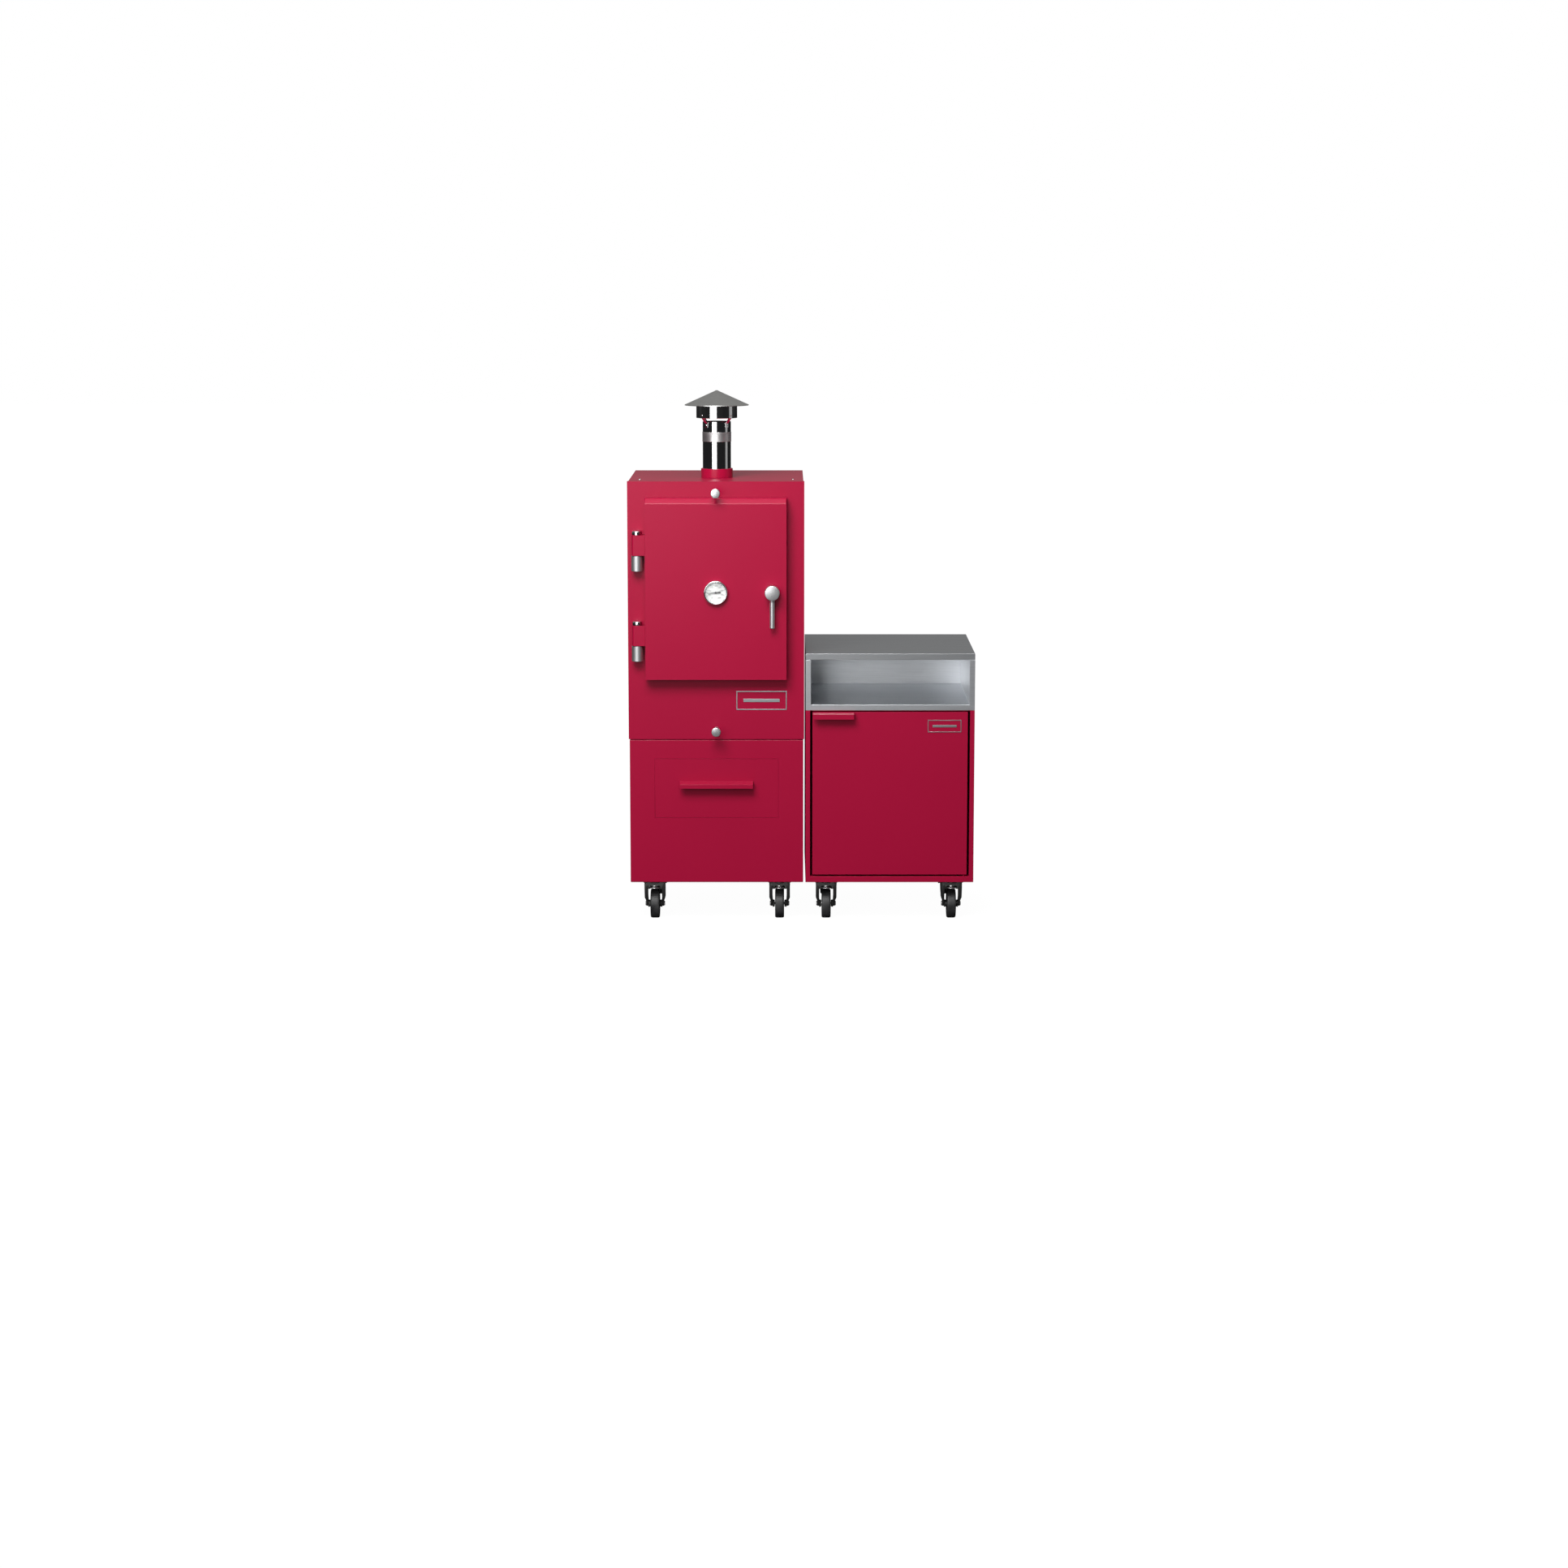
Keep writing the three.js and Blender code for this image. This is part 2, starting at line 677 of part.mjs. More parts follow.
function addCasters(unit, half, prefix) {
  for (const { name, x, y } of swivelPlaces(half)) {
    const caster = new THREE.Group();
    caster.position.set(x, y, 0);
    caster.add(piece(`${prefix}_fork_${name}`, CHROME, casterFork()));
    caster.add(piece(`${prefix}_wheel_${name}`, TYRE, casterWheel()));
    unit.add(caster);
  }
}

// ---------------------------------------------------------------- assembly

const object = new THREE.Group();

const oven = new THREE.Group();
oven.position.set(OVEN_X, FRONT_Y, 0);
oven.add(
  piece("oven_front_panel", CRIMSON, ovenFrontPanel()),
  piece("oven_casing", CRIMSON, ovenCasing()),
  piece("oven_liner", LINER_STEEL, ovenLiner()),
  piece("oven_insulation", WOOL, ovenInsulation()),
  piece("grill_rack_lower", STEEL, barGrid(RACK_LEDGES[0], 6, 5, 15)),
  piece("grill_rack_upper", STEEL, barGrid(RACK_LEDGES[1], 6, 5, 15)),
  piece("charcoal_grate", IRON, barGrid(GRATE_LEDGE, 12, 10, 13)),
  piece("door_shell", CRIMSON, doorShell()),
  piece("door_inner_panel", LINER_STEEL, doorInnerPanel()),
  piece("door_seal", ROPE, doorSeal()),
  piece("thermometer_case", POLISHED, thermometerCase()),
  piece("thermometer_dial", DIAL_WHITE, thermometerDial()),
  piece("thermometer_needle", NEEDLE_BLACK, thermometerNeedle()),
  piece("thermometer_lens", GLASS, thermometerLens()),
  piece("latch_hub", STEEL, latchHub()),
  piece("latch_lever", STEEL, latchLever()),
  piece("latch_tongue", STEEL, latchTongue()),
  piece("door_keeper", STEEL, doorKeeper()),
  piece("top_vent_knob", POLISHED, ventKnob(TOP_KNOB_FRONT, TOP_VENT_Z)),
  piece("flue_damper", STEEL, damper(behindKnob(TOP_KNOB_FRONT), TOP_VENT_Z, FLUE_Y, 54, -1.5)),
  piece("bottom_vent_knob", POLISHED, ventKnob(LOW_KNOB_FRONT, LOW_VENT_Z)),
  piece("air_damper", STEEL, damper(behindKnob(LOW_KNOB_FRONT), LOW_VENT_Z, AIR_Y, 42, 3.3)),
  piece("base_casing", CRIMSON, baseCasing()),
  piece("drawer_runner_left", STEEL, drawerRunner(-1)),
  piece("drawer_runner_right", STEEL, drawerRunner(1)),
  piece("drawer_front", CRIMSON, drawerFront()),
  piece("drawer_box", STEEL, drawerBox()),
  piece("drawer_handle", CRIMSON, hoodHandle(-127, 127, 499.5, 32, 8.7, 14.9)),
);
for (const [place, level] of Object.entries(HINGE_LEVELS))
  oven.add(
    piece(`door_knuckle_${place}`, CRIMSON, doorKnuckle(level)),
    piece(`hinge_block_${place}`, STEEL, hingeBlock(level)),
    piece(`hinge_pin_${place}`, CHROME, hingePin(level)),
  );

const flue = new THREE.Group();
flue.position.set(0, FLUE_Y, 0);
flue.add(
  piece("flue_collar", CRIMSON, flueCollar()),
  piece("flue_pipe", POLISHED, fluePipe()),
  piece("flue_band", STEEL, flueBand()),
  piece("cowl_skirt", POLISHED, cowlSkirt()),
  piece("cowl_cone", STEEL, cowlCone()),
);
oven.add(flue);
addCasters(oven, HALF, "oven");

const cabinet = new THREE.Group();
cabinet.position.set(CABINET_X, FRONT_Y, 0);
const { half: doorHalf, high: doorTop } = CABINET_DOOR;
cabinet.add(
  piece("cabinet_carcass", CRIMSON, cabinetCarcass()),
  piece("cabinet_niche", STEEL, cabinetNiche()),
  piece("cabinet_worktop", STEEL, cabinetWorktop()),
  piece("cabinet_door", CRIMSON, cabinetDoor()),
  piece("cabinet_handle", CRIMSON, hoodHandle(-doorHalf + 2, -doorHalf + 144, doorTop, 30, 4.5, 18.4)),
);
addCasters(cabinet, CABINET_HALF, "cabinet");

object.add(oven, cabinet);
export default object;
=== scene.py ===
# %% [markdown]
# # An upright charcoal oven with a side cabinet
#
# The real object is made of folded steel sheet: a tall oven on a drawer base, and beside it a low
# cabinet with a stainless open shelf and worktop. Crimson powder coat covers the mild steel, and the
# chimney, worktop, knobs and casters are bare or plated metal.
#
# The CAD frame already fixes every size and every joint. This lesson builds what the eye sees round
# that frame: rounded sheet edges, turned knobs, rods, rivets and screws, and the finishes. Each piece
# takes its place from a CAD box, so it moves with the right body and needs no fitting by eye.

# %% Load the frame
import json
from math import cos, degrees, pi, radians, sin

import bpy
from mathutils import Matrix, Vector

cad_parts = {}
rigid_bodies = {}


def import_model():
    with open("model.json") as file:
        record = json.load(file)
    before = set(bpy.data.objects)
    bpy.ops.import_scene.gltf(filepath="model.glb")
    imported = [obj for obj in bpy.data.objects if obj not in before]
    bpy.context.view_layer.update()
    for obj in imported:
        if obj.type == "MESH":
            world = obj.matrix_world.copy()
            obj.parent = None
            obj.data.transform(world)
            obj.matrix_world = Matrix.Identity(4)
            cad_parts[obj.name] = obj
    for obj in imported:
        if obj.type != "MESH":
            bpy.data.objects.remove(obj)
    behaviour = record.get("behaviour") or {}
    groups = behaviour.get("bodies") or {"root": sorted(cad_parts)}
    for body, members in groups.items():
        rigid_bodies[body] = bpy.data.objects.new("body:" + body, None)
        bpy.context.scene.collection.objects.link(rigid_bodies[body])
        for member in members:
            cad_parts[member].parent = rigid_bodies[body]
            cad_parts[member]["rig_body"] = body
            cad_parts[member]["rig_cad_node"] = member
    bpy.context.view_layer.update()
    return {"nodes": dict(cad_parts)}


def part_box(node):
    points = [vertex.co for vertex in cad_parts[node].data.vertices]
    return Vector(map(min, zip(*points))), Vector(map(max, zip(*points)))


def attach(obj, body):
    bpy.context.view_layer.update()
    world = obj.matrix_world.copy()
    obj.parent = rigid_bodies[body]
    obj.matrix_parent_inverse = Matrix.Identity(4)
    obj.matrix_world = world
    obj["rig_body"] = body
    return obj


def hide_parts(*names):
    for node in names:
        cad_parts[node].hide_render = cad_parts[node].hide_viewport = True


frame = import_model()
MM = 0.001

# %% [markdown]
# ## Two places to measure from
#
# Each unit is a cabinet standing on the floor, so its own drawing is easiest to read from the middle
# of its front, at floor level: x to the right, y back into the sheet metal, z up, in millimetres. The
# helper `at` turns such a place into metres in the frame. Only the two corners come from the CAD, so
# nothing here has to be fitted by eye.

# %% The middle of each unit's front
panel_low, panel_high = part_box("oven_front_panel")
carcass_low, carcass_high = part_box("cabinet_carcass")
OVEN = Vector(((panel_low.x + panel_high.x) / 2, panel_low.y, 0))
CABINET = Vector(((carcass_low.x + carcass_high.x) / 2, carcass_low.y, 0))


def at(unit, x, y, z):
    """A place on one unit's drawing, given in millimetres, as a point of the frame in metres."""
    return unit + Vector((x, y, z)) * MM


print("oven's front middle", tuple(OVEN), "cabinet's", tuple(CABINET))

# %% [markdown]
# ## Helpers for working as by hand
#
# An operator acts on whatever is selected, and the imported CAD nodes are selected at first. So every
# piece starts from an empty selection. `settle` bakes a piece's place into its mesh, because a
# finished piece sits at the origin, unturned and unscaled, just as a CAD node does.


# %% Selection and placing
def only(*things):
    """Selects these objects and nothing else; the first becomes active."""
    if bpy.context.object and bpy.context.object.mode != "OBJECT":
        bpy.ops.object.mode_set(mode="OBJECT")
    bpy.ops.object.select_all(action="DESELECT")
    for thing in things:
        thing.select_set(True)
    bpy.context.view_layer.objects.active = things[0]


def settle(thing, name=None):
    """Bakes place, turn and size into the mesh, and names the piece."""
    only(thing)
    bpy.ops.object.transform_apply(location=True, rotation=True, scale=True)
    if name:
        thing.name = name
        thing.data.name = name
    return thing


def edit(thing, select="SELECT"):
    """Opens a piece in edit mode with everything, or nothing, selected."""
    only(thing)
    bpy.ops.object.mode_set(mode="EDIT")
    bpy.ops.mesh.select_all(action=select)


def close(thing):
    """Back to object mode, with faces turned outwards."""
    bpy.ops.mesh.select_all(action="SELECT")
    bpy.ops.mesh.normals_make_consistent(inside=False)
    bpy.ops.object.mode_set(mode="OBJECT")
    return thing


# %% [markdown]
# ## Starting shapes
#
# Sheet metal starts as a block at its size and place, and anything round is drawn as half of its
# outline and spun about its axis, as on a lathe. Spinning one outline gives the shoulders, grooves and
# rounded rims of a turned knob in one step, which a stack of cylinders can't.


# %% Block, lathe and rod
def block(name, low, high):
    """A rectangular blank from one corner to the other."""
    low, high = Vector(low), Vector(high)
    bpy.ops.mesh.primitive_cube_add(size=1, location=(low + high) / 2, scale=high - low)
    return settle(bpy.context.object, name)


def traced(points):
    """A line drawn through points in millimetres, left open in edit mode with all of it selected."""
    bpy.ops.mesh.primitive_plane_add(size=MM, location=(0, 0, 0))
    thing = bpy.context.object
    edit(thing)
    bpy.ops.mesh.merge(type="CENTER")
    bpy.ops.transform.translate(value=tuple(v * MM for v in points[0]))
    for a, b in zip(points, points[1:]):
        step = tuple((q - p) * MM for p, q in zip(a, b))
        bpy.ops.mesh.extrude_vertices_move(TRANSFORM_OT_translate={"value": step})
    bpy.ops.mesh.select_all(action="SELECT")
    return thing


TURNS = {  # how a piece drawn along +Z is turned to lie along another direction
    "up": (0, 0, 0),
    "down": (pi, 0, 0),
    "front": (pi / 2, 0, 0),
    "back": (-pi / 2, 0, 0),
    "right": (0, pi / 2, 0),
    "left": (0, -pi / 2, 0),
}


def turned(name, outline, centre, towards="up", sides=64):
    """A lathe piece: outline is (radius, height) in millimetres, spun about the axis through centre."""
    thing = traced([(radius, 0, height) for radius, height in outline])
    bpy.ops.mesh.spin(steps=sides, angle=2 * pi, center=(0, 0, 0), axis=(0, 0, 1))
    bpy.ops.mesh.select_all(action="SELECT")
    bpy.ops.mesh.remove_doubles(threshold=1e-6)
    close(thing)
    thing.rotation_euler = TURNS[towards]
    thing.location = centre
    return settle(thing, name)


def rod(name, start, end, radius, sides=24):
    """A straight round rod between two points, its ends slightly rounded over."""
    start, end = Vector(start), Vector(end)
    length = (end - start).length / MM
    soft = min(0.3 * radius, 0.8)
    outline = [(0, 0), (radius - soft, 0), (radius, soft), (radius, length - soft),
               (radius - soft, length), (0, length)]
    thing = turned(name, outline, (0, 0, 0), sides=sides)
    thing.rotation_euler = (end - start).to_track_quat("Z", "Y").to_euler()
    thing.location = start
    return settle(thing, name)


# %% [markdown]
# ## Cutting, rounding and joining
#
# Holes are cut with a Boolean, whose cutter is thrown away. Every real sheet edge is slightly round,
# and that thin line of light along an edge is what makes metal look real. So each piece ends with a
# small bevel on its sharp edges, then smooth shading by angle and weighted normals, which keep the
# wide faces flat.


# %% Modifiers that are applied at once
def use(thing, kind, **values):
    """Adds a modifier with these values and applies it."""
    only(thing)
    modifier = thing.modifiers.new(kind.title(), kind)
    for key, value in values.items():
        setattr(modifier, key, value)
    bpy.ops.object.modifier_apply(modifier=modifier.name)
    return thing


def carve(thing, *cutters):
    """Takes the cutters' shapes out of a piece."""
    for cutter in cutters:
        use(thing, "BOOLEAN", operation="DIFFERENCE", solver="EXACT", object=cutter)
        bpy.data.objects.remove(cutter)
    return thing


def rounded(thing, width, segments=3, angle=35):
    """Rounds sharp edges by width millimetres and smooths the shading."""
    use(thing, "BEVEL", width=width * MM, segments=segments, limit_method="ANGLE",
        angle_limit=radians(angle), miter_outer="MITER_ARC", harden_normals=False)
    return smooth(thing)


def smooth(thing, angle=32):
    only(thing)
    bpy.ops.object.shade_smooth_by_angle(angle=radians(angle))
    use(thing, "WEIGHTED_NORMAL", keep_sharp=True, weight=80)
    return thing


def joined(name, *things):
    """Several shapes as one piece."""
    only(*things)
    bpy.ops.object.join()
    things[0].name = name
    things[0].data.name = name
    return things[0]


def copied(thing, name, move=(0, 0, 0)):
    """A copy with a mesh of its own, moved by millimetres."""
    only(thing)
    bpy.ops.object.duplicate(linked=False)
    twin = bpy.context.object
    twin.location = Vector(move) * MM
    return settle(twin, name)


# %% [markdown]
# ## Pieces whose CAD shape is already right
#
# A folded casing, a drawer box or a door pan has the right outline in the CAD, but its edges are knife
# sharp. `pressed` takes a copy of the CAD mesh, merges its loose triangles, clears the flat diagonals
# and rounds the edges. The CAD node itself is left alone and hidden.


# %% Sheet pieces from the frame
def body_name(node):
    return frame["nodes"][node]["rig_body"]


def fit(thing, body, slot, material, *nodes):
    """Gives a piece its finish, its body and the nodes it stands for."""
    thing.data.materials.clear()
    thing.data.materials.append(material)
    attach(thing, body)
    if nodes:
        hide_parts(*nodes)
    return thing


def blank_of(node):
    """A copy of a CAD node's shape, merged and with its flat diagonals cleared."""
    only(frame["nodes"][node])
    bpy.ops.object.duplicate(linked=False)
    thing = bpy.context.object
    thing.parent = None
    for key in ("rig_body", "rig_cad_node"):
        del thing[key]
    settle(thing, node + "_piece")
    edit(thing)
    bpy.ops.mesh.remove_doubles(threshold=1e-6)
    bpy.ops.mesh.dissolve_limited(angle_limit=radians(0.6))
    bpy.ops.object.mode_set(mode="OBJECT")
    return thing


def pressed(node, width, slot, material, segments=3, angle=35):
    """A piece with a CAD node's shape, its edges rounded by width millimetres."""
    thing = rounded(blank_of(node), width, segments, angle)
    return fit(thing, body_name(node), slot, material, node)


def edges_eased(thing, width, segments, test):
    """Rounds only the edges whose two ends, in millimetres, pass the test."""
    edit(thing, "DESELECT")
    bpy.ops.object.mode_set(mode="OBJECT")
    corners = thing.data.vertices
    for edge in thing.data.edges:
        a, b = (corners[i].co / MM for i in edge.vertices)
        edge.select = bool(test(a, b))
    bpy.ops.object.mode_set(mode="EDIT")
    bpy.ops.mesh.select_mode(type="EDGE")
    bpy.ops.mesh.bevel(offset=width * MM, segments=segments, affect="EDGES")
    bpy.ops.mesh.select_mode(type="VERT")
    bpy.ops.object.mode_set(mode="OBJECT")
    return thing


# %% [markdown]
# ## Camera, studio and floor
#
# A product picture like this is taken with a long lens a little above the object, so uprights stay
# upright. The lens is 76.5 mm at about eleven and a half metres, tilted nine degrees down. The sweep of
# paper is so bright that it shows pure white to the camera, while the metal still reflects a dark room.
# The Light Path node tells those two kinds of ray apart, for the world and for the floor alike.

# %% Camera
CAMERA_PLACE = (-0.0611, -11.656, 2.30)
CAMERA_TILT, CAMERA_LENS = 9.03, 76.53  # degrees down, millimetres
bpy.ops.object.camera_add(location=CAMERA_PLACE, rotation=(radians(90 - CAMERA_TILT), 0, 0))
camera = bpy.context.object
camera.name = "product_camera"
camera.data.lens = CAMERA_LENS
camera.data.sensor_width = 36
camera.data.clip_end = 200
bpy.context.scene.camera = camera
bpy.context.scene.view_settings.view_transform = "Standard"
print("camera looks down by", round(90 - degrees(camera.rotation_euler.x), 2), "degrees")


# %% Small helpers for shader nodes
def new_node(tree, kind, **values):
    """A shader node; a value is an input socket if the node has one of that name, else a setting."""
    made = tree.nodes.new(kind)
    for key, value in values.items():
        socket = made.inputs.get(key.replace("_", " "))
        if socket is None:
            setattr(made, key, value)
        else:
            socket.default_value = value
    return made


def ramp(tree, stops):
    """A colour ramp from (position, grey or colour) stops."""
    made = tree.nodes.new("ShaderNodeValToRGB")
    elements = made.color_ramp.elements
    while len(elements) < len(stops):
        elements.new(0.5)
    for element, (position, colour) in zip(elements, stops):
        element.position = position
        element.color = (colour, colour, colour, 1) if isinstance(colour, (int, float)) else (*colour, 1)
    return made


# %% Paper white for the camera, a dim studio for everything else
world = bpy.data.worlds.new("studio")
bpy.context.scene.world = world
world.use_nodes = True
tree = world.node_tree
tree.nodes.clear()
direction = new_node(tree, "ShaderNodeTexCoord")
split = new_node(tree, "ShaderNodeSeparateXYZ")
height_light = ramp(tree, [(0.0, 0.02), (0.48, 0.03), (0.56, 0.07), (0.75, 0.16), (1.0, 0.22)])
rear_light = ramp(tree, [(0.0, 0.0), (0.5, 0.0), (0.7, 0.05), (1.0, 0.14)])
to_unit = [new_node(tree, "ShaderNodeMapRange", From_Min=-1.0, From_Max=1.0) for _ in range(2)]
total = new_node(tree, "ShaderNodeMix", data_type="RGBA", blend_type="ADD", Factor=1.0)
room = new_node(tree, "ShaderNodeBackground", Strength=1.0)
paper = new_node(tree, "ShaderNodeBackground", Color=(1, 1, 1, 1), Strength=1.0)
path = new_node(tree, "ShaderNodeLightPath")
either = new_node(tree, "ShaderNodeMixShader")
world_output = new_node(tree, "ShaderNodeOutputWorld")
link = tree.links.new
link(direction.outputs["Generated"], split.inputs[0])
link(split.outputs["Z"], to_unit[0].inputs["Value"])
link(split.outputs["Y"], to_unit[1].inputs["Value"])
link(to_unit[0].outputs[0], height_light.inputs[0])
link(to_unit[1].outputs[0], rear_light.inputs[0])
link(height_light.outputs[0], total.inputs[6])
link(rear_light.outputs[0], total.inputs[7])
link(total.outputs[2], room.inputs["Color"])
link(path.outputs["Is Camera Ray"], either.inputs[0])
link(room.outputs[0], either.inputs[1])
link(paper.outputs[0], either.inputs[2])
link(either.outputs[0], world_output.inputs["Surface"])
print("world has", len(tree.nodes), "nodes")


# %% [markdown]
# ## Lights
#
# A big soft key hangs high at the front left, so every part that stands out throws a soft dark shadow
# down and to the right. A wide panel further out in front is there for the chimney, whose polished
# tube turns it into one broad white streak, and a dim panel far to the right gives the thin second
# streak. A weak sheet overhead lights the flat tops, and a small faint card low in front lifts the
# inside of the open shelf.


# %% Softboxes
def softbox(name, place, aim, wide, tall, watts):
    bpy.ops.object.light_add(type="AREA", location=place)
    lamp = bpy.context.object
    lamp.name = name
    lamp.rotation_euler = (Vector(aim) - Vector(place)).to_track_quat("-Z", "Y").to_euler()
    lamp.data.shape = "RECTANGLE"
    lamp.data.size, lamp.data.size_y = wide, tall
    lamp.data.energy = watts
    lamp.visible_camera = False
    return lamp


softbox("key_softbox", (-1.1, -3.55, 4.15), (-0.1, -0.3, 1.35), 3.0, 2.2, 252)
softbox("chimney_panel", (-2.25, -5.9, 1.95), (-0.3, -0.25, 1.75), 4.0, 2.4, 112)
softbox("overhead_sheet", (-0.2, -0.85, 4.5), (-0.2, -0.4, 1.0), 3.4, 0.8, 30)
softbox("right_strip", (6.0, -0.4, 1.7), (0, -0.1, 1.5), 2.4, 3.0, 9)
softbox("shelf_card", (0.75, -4.6, 0.45), (0.3, 0.2, 0.85), 1.4, 0.9, 0.7)


# %% [markdown]
# ## Floor
#
# The pale floor carries only a faint shadow under the wheels. To the camera it is almost all glow; to
# every other ray it is a dark matt floor, so that it doesn't light the undersides.

# %% Floor
bpy.ops.mesh.primitive_plane_add(size=80, location=(0, 0, 0))
floor = bpy.context.object
floor.name = "studio_floor"
paper_floor = bpy.data.materials.new("paper_floor")
paper_floor.use_nodes = True
tree = paper_floor.node_tree
tree.nodes.clear()
glow = new_node(tree, "ShaderNodeEmission", Color=(1, 1, 1, 1), Strength=1.03)
matt = new_node(tree, "ShaderNodeBsdfDiffuse", Color=(0.9, 0.9, 0.9, 1))
dark = new_node(tree, "ShaderNodeBsdfDiffuse", Color=(0.08, 0.08, 0.085, 1))
seen = new_node(tree, "ShaderNodeMixShader")
spot = new_node(tree, "ShaderNodeTexCoord")
distance = new_node(tree, "ShaderNodeVectorMath", operation="LENGTH")
tree.links.new(spot.outputs["Object"], distance.inputs[0])
near = new_node(tree, "ShaderNodeMapRange", From_Min=0.6, From_Max=1.1, To_Min=0.05, To_Max=0.0)
tree.links.new(distance.outputs["Value"], near.inputs["Value"])
tree.links.new(near.outputs[0], seen.inputs[0])
path = new_node(tree, "ShaderNodeLightPath")
either = new_node(tree, "ShaderNodeMixShader")
output = new_node(tree, "ShaderNodeOutputMaterial")
link = tree.links.new
link(glow.outputs[0], seen.inputs[1])
link(matt.outputs[0], seen.inputs[2])
link(path.outputs["Is Camera Ray"], either.inputs[0])
link(dark.outputs[0], either.inputs[1])
link(seen.outputs[0], either.inputs[2])
link(either.outputs[0], output.inputs["Surface"])
floor.data.materials.append(paper_floor)
print("floor is", tuple(round(v) for v in floor.dimensions[:2]), "metres")

# %% [markdown]
# ## Shared surface effects
#
# Four effects carry the finishes, so each is one shader group with named sockets:
#
# - `coat_peel`: the fine orange peel of baked powder paint, with a slow drift of its colour.
# - `brushed_grain`: long scratches along one direction, from noise stretched by a Mapping node.
# - `soot_film`: smoke that settles unevenly, in cloudy patches and fine specks.
# - `cast_skin`: the pebbled skin of cast or moulded material.
#
# Each group only puts out colours, values and heights; the shader itself stays in the material.


# %% A helper that opens a shader group
def shader_group(name, inputs, outputs):
    """A group with (name, kind, default) inputs and (name, kind) outputs."""
    kinds = {"colour": "NodeSocketColor", "value": "NodeSocketFloat", "vector": "NodeSocketVector"}
    made = bpy.data.node_groups.new(name, "ShaderNodeTree")
    for socket, kind, default in inputs:
        entry = made.interface.new_socket(name=socket, in_out="INPUT", socket_type=kinds[kind])
        if default is not None:
            entry.default_value = default
    for socket, kind in outputs:
        made.interface.new_socket(name=socket, in_out="OUTPUT", socket_type=kinds[kind])
    return made, made.nodes.new("NodeGroupInput"), made.nodes.new("NodeGroupOutput")


def put_out(tree, g_out, **sockets):
    """Wires values to a group's outputs by their names."""
    for name, socket in sockets.items():
        tree.links.new(socket, g_out.inputs[name])


def noise(tree, vector, scale, detail=2.0, rough=0.5, distortion=0.0):
    made = new_node(tree, "ShaderNodeTexNoise", Scale=scale, Detail=detail, Roughness=rough,
                    Distortion=distortion)
    tree.links.new(vector, made.inputs["Vector"])
    return made.outputs["Fac"]


def spread(tree, value, low, high, from_low=0.3, from_high=0.7):
    """Maps a value, such as a noise, to a range."""
    made = new_node(tree, "ShaderNodeMapRange", From_Min=from_low, From_Max=from_high,
                    To_Min=low, To_Max=high)
    tree.links.new(value, made.inputs["Value"])
    return made.outputs[0]


def maths(tree, operation, a, b):
    made = new_node(tree, "ShaderNodeMath", operation=operation)
    for socket, value in zip(made.inputs, (a, b)):
        if isinstance(value, (int, float)):
            socket.default_value = value
        else:
            tree.links.new(value, socket)
    return made.outputs[0]


def mixed(tree, factor, a, b, blend="MIX"):
    """Mixes two colours; each argument is a socket, a number or a colour."""
    made = new_node(tree, "ShaderNodeMix", data_type="RGBA", blend_type=blend)
    for index, value in ((0, factor), (6, a), (7, b)):
        if isinstance(value, bpy.types.NodeSocket):
            tree.links.new(value, made.inputs[index])
        elif index == 0:
            made.inputs[0].default_value = value
        else:
            made.inputs[index].default_value = (*value, 1) if len(value) == 3 else value
    return made.outputs[2]


# %% Orange peel of the powder coat
coat_peel, g_in, g_out = shader_group(
    "coat_peel",
    [("Vector", "vector", None), ("Color", "colour", (0.4, 0.01, 0.05, 1)), ("Roughness", "value", 0.3)],
    [("Color", "colour"), ("Roughness", "value"), ("Height", "value")])
where = g_in.outputs["Vector"]
drift = noise(coat_peel, where, 2.3, 2)
darker = mixed(coat_peel, 1.0, g_in.outputs["Color"], (0.95, 0.92, 0.93), "MULTIPLY")
tone = mixed(coat_peel, spread(coat_peel, drift, 0.0, 1.0, 0.0, 1.0), darker, g_in.outputs["Color"])
peel = noise(coat_peel, where, 300, 2, 0.45)
cloud = spread(coat_peel, noise(coat_peel, where, 5, 1), -0.012, 0.012, 0.0, 1.0)
put_out(coat_peel, g_out, Color=tone, Height=peel,
        Roughness=maths(coat_peel, "ADD", g_in.outputs["Roughness"], cloud))
print("coat_peel sockets:", [s.name for s in coat_peel.interface.items_tree])

# %% Brushed grain
brushed_grain, g_in, g_out = shader_group(
    "brushed_grain",
    [("Vector", "vector", None), ("Color", "colour", (0.6, 0.6, 0.6, 1)), ("Roughness", "value", 0.3),
     ("Contrast", "value", 0.12)],
    [("Color", "colour"), ("Roughness", "value"), ("Height", "value")])
where = g_in.outputs["Vector"]
long_lines = noise(brushed_grain, where, 60, 4, 0.7)
fine_lines = noise(brushed_grain, where, 260, 3, 0.6)
lines = maths(brushed_grain, "ADD", maths(brushed_grain, "MULTIPLY", long_lines, 0.55),
              maths(brushed_grain, "MULTIPLY", fine_lines, 0.45))
shade = maths(brushed_grain, "MULTIPLY", spread(brushed_grain, lines, -1.0, 1.0),
              g_in.outputs["Contrast"])
bright = maths(brushed_grain, "ADD", shade, 1.0)
tone = mixed(brushed_grain, 1.0, g_in.outputs["Color"], bright, "MULTIPLY")
glossier = maths(brushed_grain, "MULTIPLY", shade, 0.6)
put_out(brushed_grain, g_out, Color=tone, Height=lines,
        Roughness=maths(brushed_grain, "SUBTRACT", g_in.outputs["Roughness"], glossier))

